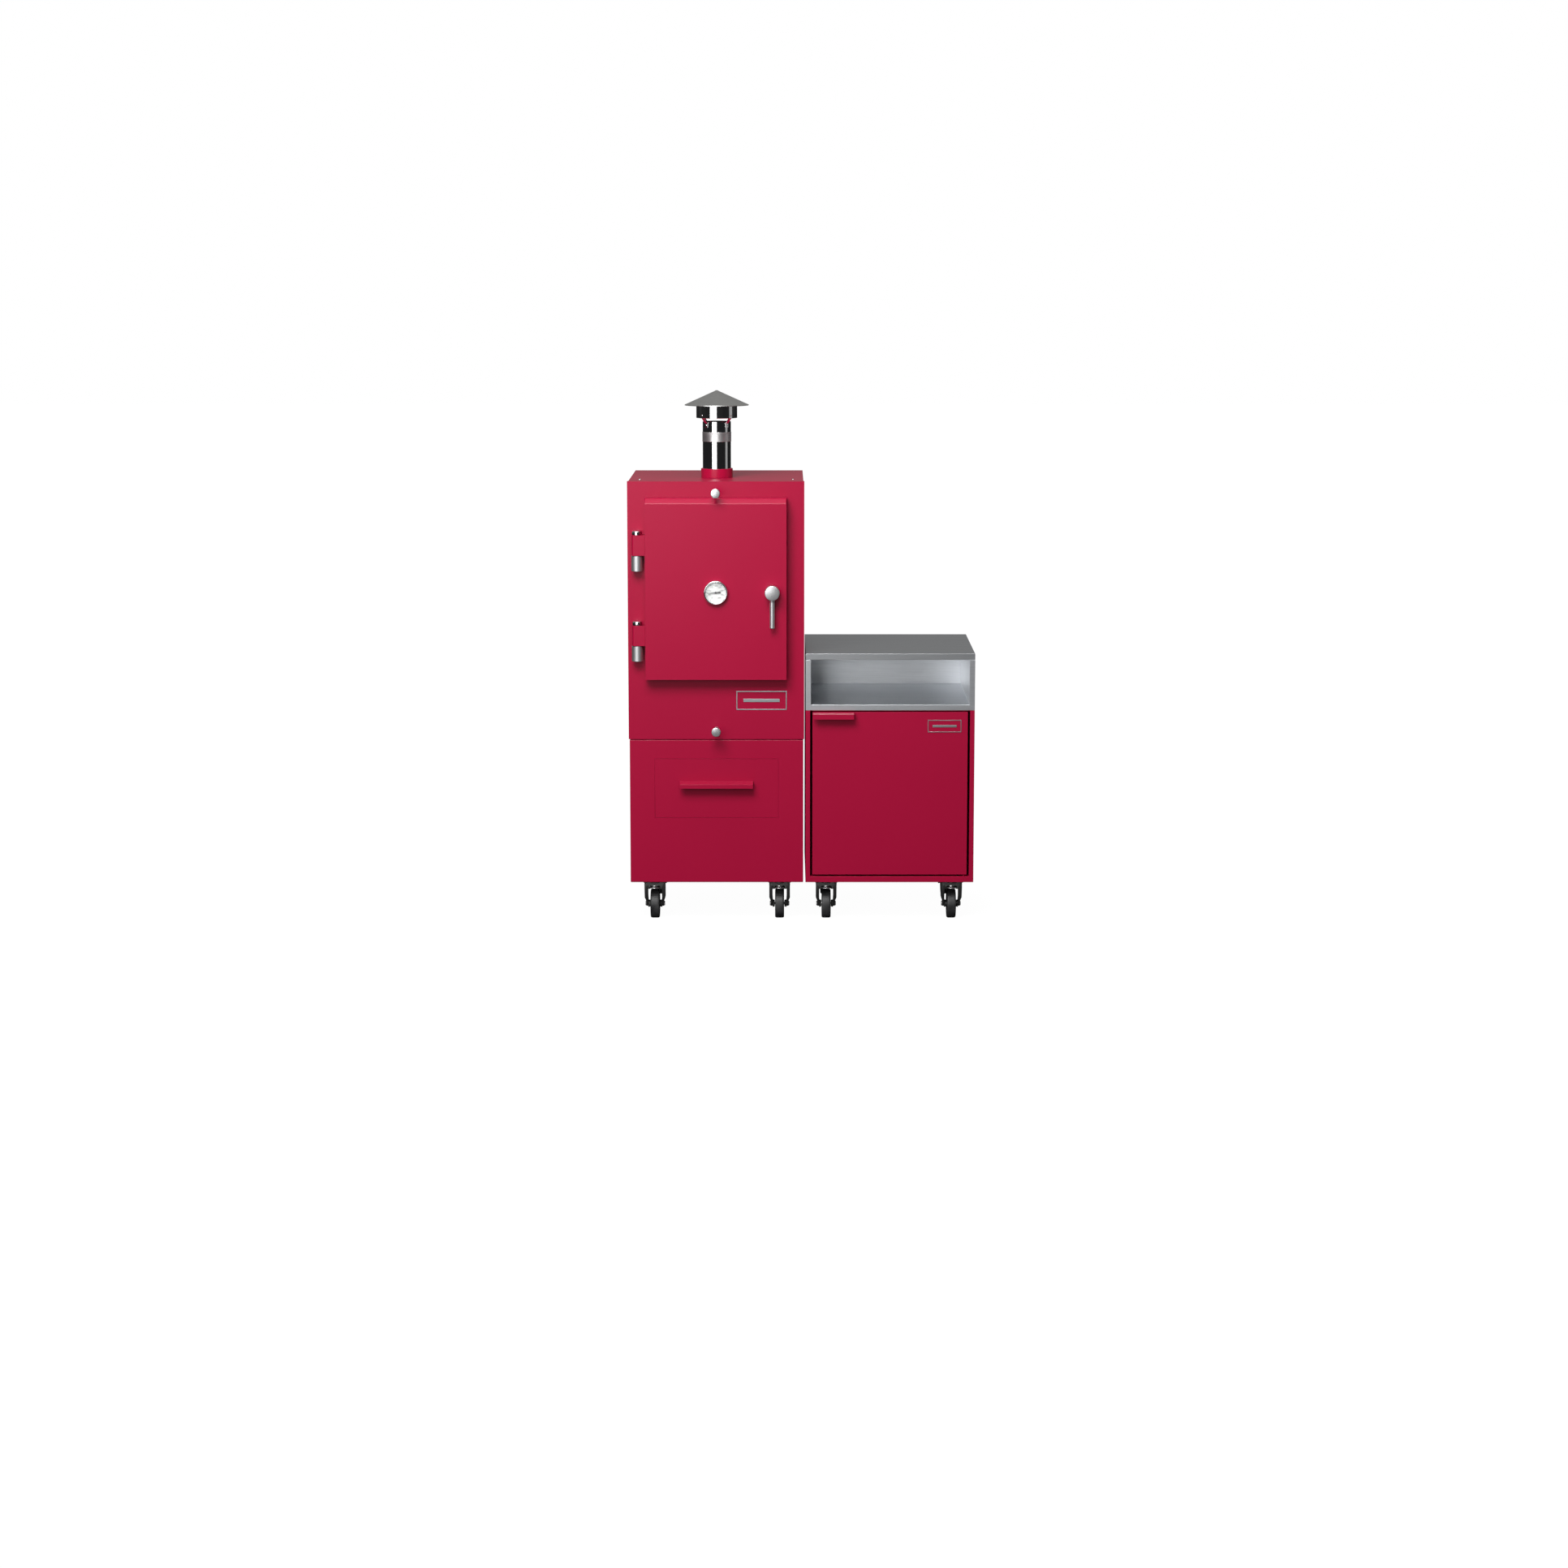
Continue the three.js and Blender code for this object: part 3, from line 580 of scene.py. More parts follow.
# %% Soot
SOOT_BLACK = (0.018, 0.015, 0.013)
soot_film, g_in, g_out = shader_group(
    "soot_film",
    [("Vector", "vector", None), ("Color", "colour", (0.3, 0.3, 0.3, 1)), ("Roughness", "value", 0.4),
     ("Amount", "value", 0.5)],
    [("Color", "colour"), ("Roughness", "value"), ("Metal", "value"), ("Height", "value")])
where = g_in.outputs["Vector"]
patches = noise(soot_film, where, 5.5, 5, 0.62, 0.4)
specks = noise(soot_film, where, 240, 3, 0.7)
cover = maths(soot_film, "ADD", spread(soot_film, patches, -0.45, 0.55),
              maths(soot_film, "MULTIPLY", specks, 0.25))
cover = maths(soot_film, "ADD", cover, g_in.outputs["Amount"])
clamp = new_node(soot_film, "ShaderNodeClamp")
soot_film.links.new(cover, clamp.inputs["Value"])
cover = clamp.outputs[0]
rougher = maths(soot_film, "MULTIPLY", cover, 0.4)
put_out(soot_film, g_out, Height=specks,
        Color=mixed(soot_film, cover, g_in.outputs["Color"], SOOT_BLACK),
        Roughness=maths(soot_film, "ADD", g_in.outputs["Roughness"], rougher),
        Metal=maths(soot_film, "SUBTRACT", 1.0, cover))

# %% Cast skin
cast_skin, g_in, g_out = shader_group(
    "cast_skin",
    [("Vector", "vector", None), ("Color", "colour", (0.05, 0.05, 0.05, 1)), ("Roughness", "value", 0.6),
     ("Grain", "value", 700.0)],
    [("Color", "colour"), ("Roughness", "value"), ("Height", "value")])
where = g_in.outputs["Vector"]
pebbles = new_node(cast_skin, "ShaderNodeTexVoronoi", feature="SMOOTH_F1")
cast_skin.links.new(where, pebbles.inputs["Vector"])
cast_skin.links.new(g_in.outputs["Grain"], pebbles.inputs["Scale"])
mottle = noise(cast_skin, where, 26, 4, 0.6)
lighter = mixed(cast_skin, 1.0, g_in.outputs["Color"], (0.8, 0.8, 0.8), "SCREEN")
tone = mixed(cast_skin, spread(cast_skin, mottle, 0.0, 0.05), g_in.outputs["Color"], lighter)
uneven = spread(cast_skin, mottle, -0.07, 0.07)
put_out(cast_skin, g_out, Color=tone, Height=pebbles.outputs["Distance"],
        Roughness=maths(cast_skin, "ADD", g_in.outputs["Roughness"], uneven))
print("shader groups:", sorted(g.name for g in bpy.data.node_groups))


# %% [markdown]
# ## Finishes
#
# A finish is one Principled shader fed by the groups. What is the same all over, such as the metal's
# plain Metallic of one, sits on the shader's own socket. `finish` makes that shader, the position
# pattern it reads and its bump, and each finish below only chooses colours, grain and scale.


# %% A helper for finishes
def place_group(tree, group, vector, **values):
    made = tree.nodes.new("ShaderNodeGroup")
    made.node_tree = group
    tree.links.new(vector, made.inputs["Vector"])
    for key, value in values.items():
        if isinstance(value, bpy.types.NodeSocket):
            tree.links.new(value, made.inputs[key])
        else:
            made.inputs[key].default_value = (*value, 1) if isinstance(value, tuple) else value
    return made


def finish(name, stretch=(1, 1, 1), **constants):
    """A new material: its tree, its shader and the object's own coordinates, stretched."""
    made = bpy.data.materials.new(name)
    made.use_nodes = True
    tree = made.node_tree
    shader = tree.nodes["Principled BSDF"]
    for key, value in constants.items():
        shader.inputs[key.replace("_", " ")].default_value = value
    coordinates = new_node(tree, "ShaderNodeTexCoord")
    mapping = new_node(tree, "ShaderNodeMapping", Scale=stretch)
    tree.links.new(coordinates.outputs["Object"], mapping.inputs["Vector"])
    return made, tree, shader, mapping.outputs["Vector"]


def relief(tree, shader, height, strength, depth):
    """Bump from a height; depth is the height's real size in millimetres."""
    bump = new_node(tree, "ShaderNodeBump", Strength=strength, Distance=depth * MM)
    tree.links.new(height, bump.inputs["Height"])
    tree.links.new(bump.outputs[0], shader.inputs["Normal"])


def feed(tree, shader, effect, strength, depth):
    """Wires an effect's colour, roughness, metal and height to the shader."""
    for output, socket in (("Color", "Base Color"), ("Roughness", "Roughness"), ("Metal", "Metallic")):
        if output in effect.outputs:
            tree.links.new(effect.outputs[output], shader.inputs[socket])
    relief(tree, shader, effect.outputs["Height"], strength, depth)


def painted(name, colour, roughness, shine, peel, depth=0.02):
    made, tree, shader, where = finish(name, Specular_IOR_Level=shine)
    coat = place_group(tree, coat_peel, where, Color=colour, Roughness=roughness)
    feed(tree, shader, coat, peel, depth)
    return made


def brushed(name, colour, roughness, stretch, contrast=0.12, depth=0.02, strength=0.35):
    made, tree, shader, where = finish(name, stretch, Metallic=1.0)
    grain = place_group(tree, brushed_grain, where, Color=colour, Roughness=roughness, Contrast=contrast)
    feed(tree, shader, grain, strength, depth)
    return made


def sooty(name, colour, roughness, amount, depth=0.15, strength=0.5):
    made, tree, shader, where = finish(name)
    film = place_group(tree, soot_film, where, Color=colour, Roughness=roughness, Amount=amount)
    feed(tree, shader, film, strength, depth)
    return made


def moulded(name, colour, roughness, grain, depth, strength=0.5):
    made, tree, shader, where = finish(name)
    skin = place_group(tree, cast_skin, where, Color=colour, Roughness=roughness, Grain=grain)
    feed(tree, shader, skin, strength, depth)
    return made


# %% The finishes of this object
ALONG_X, ALONG_Y, ALONG_Z = (0.03, 1, 1), (1, 0.03, 1), (1, 1, 0.03)
STEEL, BRIGHT_STEEL = (0.58, 0.595, 0.61), (0.70, 0.70, 0.71)
crimson_coat = painted("crimson_coat", (0.365, 0.0042, 0.038), 0.29, shine=0.19, peel=0.06)
worktop_steel = brushed("worktop_steel", (0.53, 0.545, 0.56), 0.33, ALONG_X, 0.08, strength=0.15)
# the shelf is a lighter copy of the worktop's stainless: painted light for the bright reflection on its
# back wall and floor
shelf_steel_painted_bright = brushed("shelf_steel_painted_bright", (0.76, 0.78, 0.805), 0.32, ALONG_X, 0.08, strength=0.15)
knob_steel = brushed("knob_steel", BRIGHT_STEEL, 0.29, (1, 0.05, 1), 0.06, strength=0.15)
block_steel = brushed("block_steel", BRIGHT_STEEL, 0.46, ALONG_Z, 0.06, strength=0.15)
cone_steel = brushed("cone_steel", (0.60, 0.60, 0.58), 0.36, (1, 1, 0.25), 0.10)
band_steel = brushed("band_steel", (0.72, 0.72, 0.72), 0.42, (0.08, 0.08, 1), 0.22, 0.06, 0.6)
chimney_polish = brushed("chimney_polish", (0.70, 0.70, 0.70), 0.07, ALONG_Z, 0.05, 0.006, 0.15)
chrome_plate = brushed("chrome_plate", (0.80, 0.80, 0.81), 0.10, (1, 1, 1), 0.05, 0.004, 0.15)
fork_zinc = brushed("fork_zinc", (0.23, 0.23, 0.22), 0.36, (1, 1, 0.3), 0.12, 0.01, 0.2)
rack_steel = brushed("rack_steel", (0.66, 0.65, 0.62), 0.25, (1, 0.05, 1), 0.15)
runner_steel = brushed("runner_steel", STEEL, 0.32, ALONG_Y, 0.15)
liner_plate = sooty("liner_plate", (0.36, 0.34, 0.31), 0.42, 0.18)
door_plate = sooty("door_plate", (0.48, 0.46, 0.43), 0.36, 0.0)
damper_plate = sooty("damper_plate", (0.40, 0.38, 0.35), 0.40, 0.1)
grate_iron = moulded("grate_iron", (0.022, 0.021, 0.020), 0.62, 520.0, 0.35)
tyre_black = moulded("tyre_black", (0.012, 0.012, 0.013), 0.50, 900.0, 0.05, 0.35)
core_black = moulded("core_black", (0.020, 0.020, 0.021), 0.42, 1300.0, 0.03, 0.3)
pin_zinc = brushed("pin_zinc", (0.86, 0.86, 0.86), 0.34, (1, 1, 1), 0.05, 0.004, 0.15)
boss_black = moulded("boss_black", (0.015, 0.015, 0.015), 0.38, 1200.0, 0.03, 0.3)
needle_paint = moulded("needle_paint", (0.02, 0.02, 0.02), 0.35, 2500.0, 0.01, 0.2)
dial_paint = moulded("dial_paint", (0.50, 0.51, 0.50), 0.45, 2500.0, 0.01, 0.15)
print("finishes:", len(bpy.data.materials))

# %% [markdown]
# ## Rope, wool and glass
#
# The door closes on a plaited glass-fibre rope, whose diagonal strands are two crossed wave patterns.
# Mineral wool is only seen through the flue, as pale matted fibre. The thermometer's lens is clear
# glass, so it keeps a plain Metallic and Transmission and only its roughness drifts a little.

# %% Rope
rope_weave, tree, shader, where = finish("rope_weave", Sheen_Weight=0.3)
strands = []
for slant in (1, -1):
    turn = new_node(tree, "ShaderNodeMapping", Rotation=(0.6 * slant, 0.8, 0.7 * slant))
    wave = new_node(tree, "ShaderNodeTexWave", Scale=130.0, Distortion=0.6)
    tree.links.new(where, turn.inputs["Vector"])
    tree.links.new(turn.outputs[0], wave.inputs["Vector"])
    strands.append(wave.outputs["Fac"])
plait = maths(tree, "MAXIMUM", *strands)
fuzz = noise(tree, where, 600, 3)
tree.links.new(mixed(tree, spread(tree, plait, 0.0, 1.0, 0.1, 0.9), (0.10, 0.095, 0.085),
                     (0.42, 0.40, 0.36)), shader.inputs["Base Color"])
tree.links.new(spread(tree, fuzz, 0.75, 0.95), shader.inputs["Roughness"])
relief(tree, shader, plait, 0.8, 0.6)

# %% Wool and glass
wool_mat, tree, shader, where = finish("wool_mat", (1, 1, 4))
fibres = noise(tree, where, 90, 6, 0.75, 1.5)
tree.links.new(mixed(tree, spread(tree, fibres, 0.0, 1.0), (0.28, 0.24, 0.16), (0.62, 0.58, 0.46)),
               shader.inputs["Base Color"])
tree.links.new(spread(tree, fibres, 0.8, 1.0), shader.inputs["Roughness"])
relief(tree, shader, fibres, 1.0, 2.0)
lens_glass, tree, shader, where = finish("lens_glass", Transmission_Weight=1.0, IOR=1.5,
                                         Base_Color=(1, 1, 1, 1))
smear = noise(tree, where, 70, 3)
tree.links.new(spread(tree, smear, 0.01, 0.05), shader.inputs["Roughness"])

# %% [markdown]
# ## Painted sheet metal
#
# The front panel, casings, doors and handles are 2 to 3 mm sheet, folded and welded, then powder
# coated. Paint builds up on an edge, so the rounding is a little more than the bare sheet's.

# %% Casings, doors and handles
ROUNDING = {"oven_front_panel": 2.2, "oven_casing": 1.2, "door_knuckle_upper": 0.8,
            "door_knuckle_lower": 0.8, "drawer_handle": 0.9, "cabinet_carcass": 1.2,
            "cabinet_door": 1.3, "cabinet_handle": 0.9}
for sheet_node, radius in ROUNDING.items():
    made = pressed(sheet_node, radius, "crimson_paint", crimson_coat)
    print(made.name, "has", len(made.data.polygons), "faces")

# %% [markdown]
# ## Door shell, drawer base and drawer front
#
# Three sheets need their edges rounded by different amounts. The door's top front fold is a wide soft
# one that catches the light, so its two edges are eased first and the rest after. The drawer base is
# soft outside, but its opening is cut sharp, so that the drawer's joint line is only a hair wide.

# %% Door shell
shell_low, shell_high = (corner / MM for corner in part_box("door_shell"))
shell = blank_of("door_shell")
NEAR = 0.1  # millimetres; closer than this, two places are the same
FOLD_REACH = 18  # how far the wide fold comes in from the door's top and front


def on_wide_fold(a, b):
    level = abs(a.z - b.z) < NEAR and abs(a.y - b.y) < NEAR
    outside = abs(a.z - shell_high.z) < NEAR or abs(a.y - shell_low.y) < NEAR
    return level and outside and a.z > shell_high.z - FOLD_REACH and a.y < shell_low.y + FOLD_REACH


edges_eased(shell, 3.5, 3, on_wide_fold)
rounded(shell, 2.4, 4)
fit(shell, "oven_door", "crimson_paint", crimson_coat, "door_shell")
print("door shell:", len(shell.data.polygons), "faces")

# %% Drawer base and drawer front
base_low, base_high = (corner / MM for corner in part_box("base_casing"))
base_low.z += 4  # the casing's floor is this far above its CAD box's lowest point


def outer_sides(p):
    gaps = [end[axis] - p[axis] for axis in range(3) for end in (base_low, base_high)]
    return [abs(gap) < NEAR for gap in gaps]


def off_the_floor(a, b):
    shared = [x and y for x, y in zip(outer_sides(a), outer_sides(b))]
    return sum(shared) == 2 and not shared[4]


base = blank_of("base_casing")
edges_eased(base, 2.4, 4, off_the_floor)
rounded(base, 0.3, 2)
fit(base, "stand", "crimson_paint", crimson_coat, "base_casing")
front_low, front_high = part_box("drawer_front")
spare = Vector((1.1, 0, 0.9)) * MM
front = block("drawer_front_pan", front_low - spare, front_high + spare)
pocket = block("pocket", front_low + Vector((2, 2, 2)) * MM, front_high + Vector((-2, 5, -2)) * MM)
carve(front, pocket)
rounded(front, 0.35, 2)
fit(front, "drawer", "crimson_paint", crimson_coat, "drawer_front")

# %% [markdown]
# ## Stainless shelf and worktop
#
# The open shelf and the worktop are brushed stainless, left bare. The brushing runs the long way, so
# the Mapping node stretches the grain along x. Their edges are folded sharper than painted ones.

# %% Shelf and worktop
# the shelf wears the lighter copy of the stainless, which paints in the bright reflection inside it
pressed("cabinet_niche", 0.9, "brushed_steel", shelf_steel_painted_bright)
pressed("cabinet_worktop", 2.2, "brushed_steel", worktop_steel)

# %% [markdown]
# ## The fire side
#
# Inside, the liner is thin steel that smoke has darkened. The charcoal grate is cast iron. The two
# grill racks are welded rod: a rim, cross bars and many thin bars, so one bar is drawn and repeated
# by an Array modifier, which costs nothing and keeps the spacing exact.

# %% Liner, insulation, grate, drawer and small plates
pressed("oven_liner", 0.8, "liner_steel", liner_plate)
pressed("door_inner_panel", 1.2, "liner_steel", door_plate)
pressed("oven_insulation", 3.0, "mineral_wool", wool_mat)
pressed("charcoal_grate", 1.4, "cast_iron", grate_iron)
pressed("door_seal", 1.2, "rope_seal", rope_weave)
pressed("door_keeper", 1.0, "brushed_steel", runner_steel)
pressed("latch_tongue", 0.8, "brushed_steel", runner_steel)
pressed("flue_damper", 0.6, "brushed_steel", damper_plate)
pressed("air_damper", 0.6, "brushed_steel", damper_plate)
pressed("drawer_box", 0.6, "brushed_steel", runner_steel)
for side in ("left", "right"):
    pressed("drawer_runner_" + side, 0.6, "brushed_steel", runner_steel)


# %% Grill racks of welded rod
RIM_ROD, BRACE_ROD, BAR_ROD = 3.0, 2.4, 2.1  # radii
BARS = 29


def grill_rack(node):
    low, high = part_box(node)
    rim, bar = RIM_ROD * MM, BAR_ROD * MM
    x0, x1, y0, y1 = low.x + rim, high.x - rim, low.y + rim, high.y - rim
    z = low.z + rim
    corners = [(x0, y0, z), (x1, y0, z), (x0, y1, z), (x1, y1, z)]
    parts = [rod("rim", corners[i], corners[j], RIM_ROD) for i, j in ((0, 1), (2, 3), (0, 2), (1, 3))]
    for share in (0.33, 0.67):
        y = y0 + share * (y1 - y0)
        parts.append(rod("brace", (x0, y, z - bar / 2), (x1, y, z - bar / 2), BRACE_ROD))
    pitch = (x1 - x0) / (BARS + 1)
    top = z + rim - bar
    bars = rod("bar", (x0 + pitch, y0, top), (x0 + pitch, y1, top), BAR_ROD, sides=12)
    use(bars, "ARRAY", count=BARS, use_relative_offset=False, use_constant_offset=True,
        constant_offset_displace=(pitch, 0, 0))
    rack = smooth(joined(node + "_rods", *parts, bars), 40)
    return fit(rack, "stand", "brushed_steel", rack_steel, node)


for rack_node in ("grill_rack_lower", "grill_rack_upper"):
    print(rack_node, len(grill_rack(rack_node).data.polygons), "faces")

# %% [markdown]
# ## Chimney
#
# The chimney is a polished tube in a painted collar, with a satin clamp band, and a cowl on four bent
# straps. All of it is turned work, so each ring is drawn as a closed outline and spun with enough
# sides that the reflections run smoothly. The straps are folded strip, riveted at both ends.

# %% Collar, tube and band
flue_low, flue_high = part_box("flue_pipe")
FLUE = Vector(((flue_low.x + flue_high.x) / 2, (flue_low.y + flue_high.y) / 2, 0))
SMOOTH_ROUND = 96


def ring(name, outline, rounding, sides=SMOOTH_ROUND):
    made = turned(name, outline + outline[:1], FLUE, sides=sides)
    return rounded(made, rounding, angle=50) if rounding else smooth(made)


collar = ring("flue_collar_turned", [
    (47.5, 1504), (50.8, 1504), (50.8, 1534.3), (55.2, 1534.3), (55.2, 1563.6), (54.8, 1564.6),
    (53.8, 1565), (49.5, 1565), (49.5, 1536), (47.5, 1536)], 0)
fit(collar, "stand", "crimson_paint", crimson_coat, "flue_collar")
tube = ring("flue_pipe_turned", [
    (47.5, 1536.3), (49, 1536.3), (49, 1726.9), (48.6, 1727.5), (48.0, 1727.5), (47.5, 1726.9)], 0)
fit(tube, "stand", "polished_steel", chimney_polish, "flue_pipe")
band = ring("flue_band_turned", [
    (49.3, 1658.5), (50.2, 1658.5), (50.5, 1659.3), (50.5, 1660.5), (50.1, 1661.3), (50.1, 1688.2),
    (50.5, 1689), (50.5, 1690.2), (50.2, 1691), (49.3, 1691)], 0)
fit(band, "stand", "brushed_steel", band_steel, "flue_band")
print("chimney tube:", len(tube.data.polygons), "faces")


# %% Folded strip, drawn as an outline and pulled out along x
def folded(name, outline, x0, x1):
    """outline is (y, z) in millimetres; the shape is pulled from x0 to x1."""
    thing = traced([(x0, y, z) for y, z in outline + outline[:1]])
    bpy.ops.mesh.remove_doubles(threshold=1e-6)
    bpy.ops.mesh.edge_face_add()
    bpy.ops.mesh.extrude_region_move(TRANSFORM_OT_translate={"value": ((x1 - x0) * MM, 0, 0)})
    close(thing)
    thing.name = name
    thing.data.name = name
    return thing


def turned_about(thing, centre, angle):
    """Turns a settled piece about an upright axis through centre."""
    thing.data.transform(Matrix.Translation(centre) @ Matrix.Rotation(angle, 4, "Z")
                         @ Matrix.Translation(-Vector(centre)))
    return thing


# %% Cowl skirt, straps and rivets
skirt = ring("skirt_ring", [
    (69.4, 1740.5), (70.0, 1739.5), (70.7, 1739.5), (71.2, 1740.5), (71.0, 1741.9), (71.0, 1796.1),
    (70.7, 1796.5), (69.8, 1796.5), (69.4, 1796.1)], 0)
strap = folded("strap", [
    (49.6, 1707.5), (51.2, 1707.5), (51.2, 1721.5), (70.2, 1742.5), (70.2, 1755.5), (68.8, 1755.5),
    (68.8, 1743.5), (49.6, 1722.5)], -6, 6)
rounded(strap, 0.5)
rivet_outline = [(0, 0), (3.0, 0), (3.0, 0.5), (2.3, 1.2), (1.2, 1.6), (0, 1.7)]
lower_rivet = turned("rivet", rivet_outline, (0, 51.1 * MM, 1714.5 * MM), "back", 16)
upper_rivet = turned("rivet", rivet_outline, (0, 70.8 * MM, 1749.5 * MM), "back", 16)
strap = joined("strap", strap, smooth(lower_rivet), smooth(upper_rivet))
strap.location = FLUE
settle(strap)
straps = [turned_about(copied(strap, "strap"), FLUE, radians(45 + 90 * i)) for i in range(4)]
bpy.data.objects.remove(strap)
skirt = joined("cowl_skirt_turned", skirt, *straps)
fit(skirt, "stand", "polished_steel", chimney_polish, "cowl_skirt")

# %% Cone with a rolled rim and a lapped seam at the back
cone = ring("cowl_cone_turned", [
    (0, 1832.4), (109.1, 1784.6), (109.7, 1783), (111.1, 1783), (111.5, 1784.2), (110.9, 1785.6),
    (109.4, 1786.0), (9, 1831.4), (4, 1834.2), (0, 1835)], 0)
seam = folded("seam", [(12, 1830.2), (108, 1786.8), (108, 1787.6), (12, 1831.4)], -8, 8)
seam.location = FLUE
settle(seam)
rounded(seam, 0.3)
cone = joined("cowl_cone_turned", cone, seam)
fit(cone, "stand", "brushed_steel", cone_steel, "cowl_cone")
print("cowl:", len(skirt.data.polygons), "and", len(cone.data.polygons), "faces")

# %% [markdown]
# ## Door hinges
#
# Each hinge is a fixed steel barrel, a painted knuckle welded to the door, and a chrome pin with a
# wide head that drops through both. The barrel and the pin are turned; a block behind the barrel is
# its foot on the front panel.

# %% Barrels and pins
for place in ("upper", "lower"):
    low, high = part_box("hinge_block_" + place)
    pin_low, pin_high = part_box("hinge_pin_" + place)
    axis = Vector(((pin_low.x + pin_high.x) / 2, (pin_low.y + pin_high.y) / 2, low.z))
    tall = (high.z - low.z) / MM
    barrel = turned("barrel", [(8.2, 0), (18.3, 0), (19.5, 1.2), (19.5, tall - 1.2), (18.3, tall),
                               (8.2, tall), (8.2, 0)], axis)
    foot = block("foot", (axis.x - 13 * MM, axis.y + 11 * MM, low.z + 1 * MM),
                 (axis.x + 13 * MM, high.y, high.z - 1 * MM))
    hinge = joined("hinge_barrel_" + place, smooth(barrel), rounded(foot, 1.0))
    fit(hinge, "stand", "brushed_steel", block_steel, "hinge_block_" + place)
    pin = turned("hinge_pin_turned_" + place, [
        (0, 0), (6.8, 0), (7.6, 0.8), (7.6, 120), (15.8, 120), (17, 121.2), (17, 129.5),
        (16.2, 132.2), (13.5, 134.2), (9, 135), (0, 135)], (axis.x, axis.y, pin_low.z))
    fit(smooth(pin, 40), "stand", "chrome", chrome_plate, "hinge_pin_" + place)
print("hinge axis at x", round(axis.x, 4), "y", round(axis.y, 4))

# %% [markdown]
# ## Thermometer
#
# A dial thermometer screws through the door. Its case is a turned cup with a rolled bright rim. The
# dial's marks are printed on the real one; here they are thin raised ink, because geometry stays crisp
# at any distance. Only plain numbers are drawn, evenly round the scale.

# %% Case with stem and nut
DOOR_FACE = 45  # millimetres from the front panel to the door's face
case_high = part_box("thermometer_case")[1]
dial_low, dial_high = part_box("thermometer_dial")
DIAL = Vector(((dial_low.x + dial_high.x) / 2, OVEN.y - DOOR_FACE * MM, (dial_low.z + dial_high.z) / 2))
case = turned("case", [
    (0, 0.3), (38, 0.3), (40.4, 1.0), (41.5, 3.2), (41.5, 12.6), (41.0, 14.8), (39.8, 16.4),
    (38.3, 17), (37.2, 16.7), (36.5, 15.6), (36.2, 14.4), (36.2, 2.6), (0, 2.6)], DIAL, "front", 96)
smooth(case, 50)
stem = rod("stem", DIAL, (DIAL.x, case_high.y, DIAL.z), 4.0)
nut = turned("nut", [(4.2, 0), (10.5, 0), (11.5, 1), (11.5, 5), (10.5, 6), (4.2, 6), (4.2, 0)],
             (DIAL.x, OVEN.y + 18.3 * MM, DIAL.z), "back", 6)
case = joined("thermometer_case_turned", case, stem, nut)
fit(case, "oven_door", "polished_steel", chrome_plate, "thermometer_case")

# %% Dial plate and its printed scale
plate = turned("dial_plate", [(0, 2.9), (36.1, 2.9), (36.1, 3.7), (0, 3.7)], DIAL, "front", 96)
smooth(plate)
SCALE_START, SCALE_SWEEP = 236, 292  # degrees
TICKS, NUMBERS = 40, 8
NUMBER_RADIUS, NUMBER_SIZE = 22.0, 6.6
marks = []


def dial_place(angle, radius, height):
    """A point on the dial face; angle is counter-clockwise from three o'clock, as seen by a cook."""
    return DIAL + Vector((radius * cos(radians(angle)), -height, radius * sin(radians(angle)))) * MM


for step in range(TICKS + 1):
    angle = SCALE_START - SCALE_SWEEP * step / TICKS
    major = step % 5 == 0
    inner, outer, half = (27.5, 33.5, 0.42) if major else (30.5, 33.5, 0.2)
    tick = block("tick", (inner * MM, -3.85 * MM, -half * MM), (outer * MM, -3.65 * MM, half * MM))
    tick.data.transform(Matrix.Translation(DIAL) @ Matrix.Rotation(-radians(angle), 4, "Y"))
    marks.append(tick)
for step in range(NUMBERS + 1):
    angle = SCALE_START - SCALE_SWEEP * step / NUMBERS
    bpy.ops.object.text_add(location=dial_place(angle, NUMBER_RADIUS, 3.85), rotation=(pi / 2, 0, 0))
    number = bpy.context.object
    number.data.body = str(50 * step)
    number.data.align_x, number.data.align_y = "CENTER", "CENTER"
    number.data.size = NUMBER_SIZE * MM
    number.data.extrude = 0.06 * MM
    only(number)
    bpy.ops.object.convert(target="MESH")
    marks.append(settle(bpy.context.object))
rim_line = turned("rim_line", [(34.1, 3.65), (34.5, 3.65), (34.5, 3.85), (34.1, 3.85), (34.1, 3.65)],
                  DIAL, "front", 96)
scale = joined("thermometer_scale", *marks, rim_line)
fit(scale, "oven_door", "needle_black", needle_paint)
fit(plate, "oven_door", "dial_white", dial_paint, "thermometer_dial")
print("scale marks:", len(marks))

# %% Needle and lens
pressed("thermometer_needle", 0.25, "needle_black", needle_paint, segments=2)
lens = turned("thermometer_lens_domed", [
    (0, 12.5), (36.0, 12.5), (36.0, 13.0), (33, 13.5), (26, 14.0), (16, 14.35), (0, 14.5)],
    DIAL, "front", 96)
fit(smooth(lens, 50), "oven_door", "dial_glass", lens_glass, "thermometer_lens")
lens.visible_shadow = False  # so the dial under the glass is lit

# %% [markdown]
# ## Latch and vent knobs
#
# The latch is a fat turned hub with a round bar for a lever. The two vent knobs are short turned
# buttons on long rods. A shallow neck behind each one lets the fingers grip, and the shadow under it
# is what makes them stand off the paint.

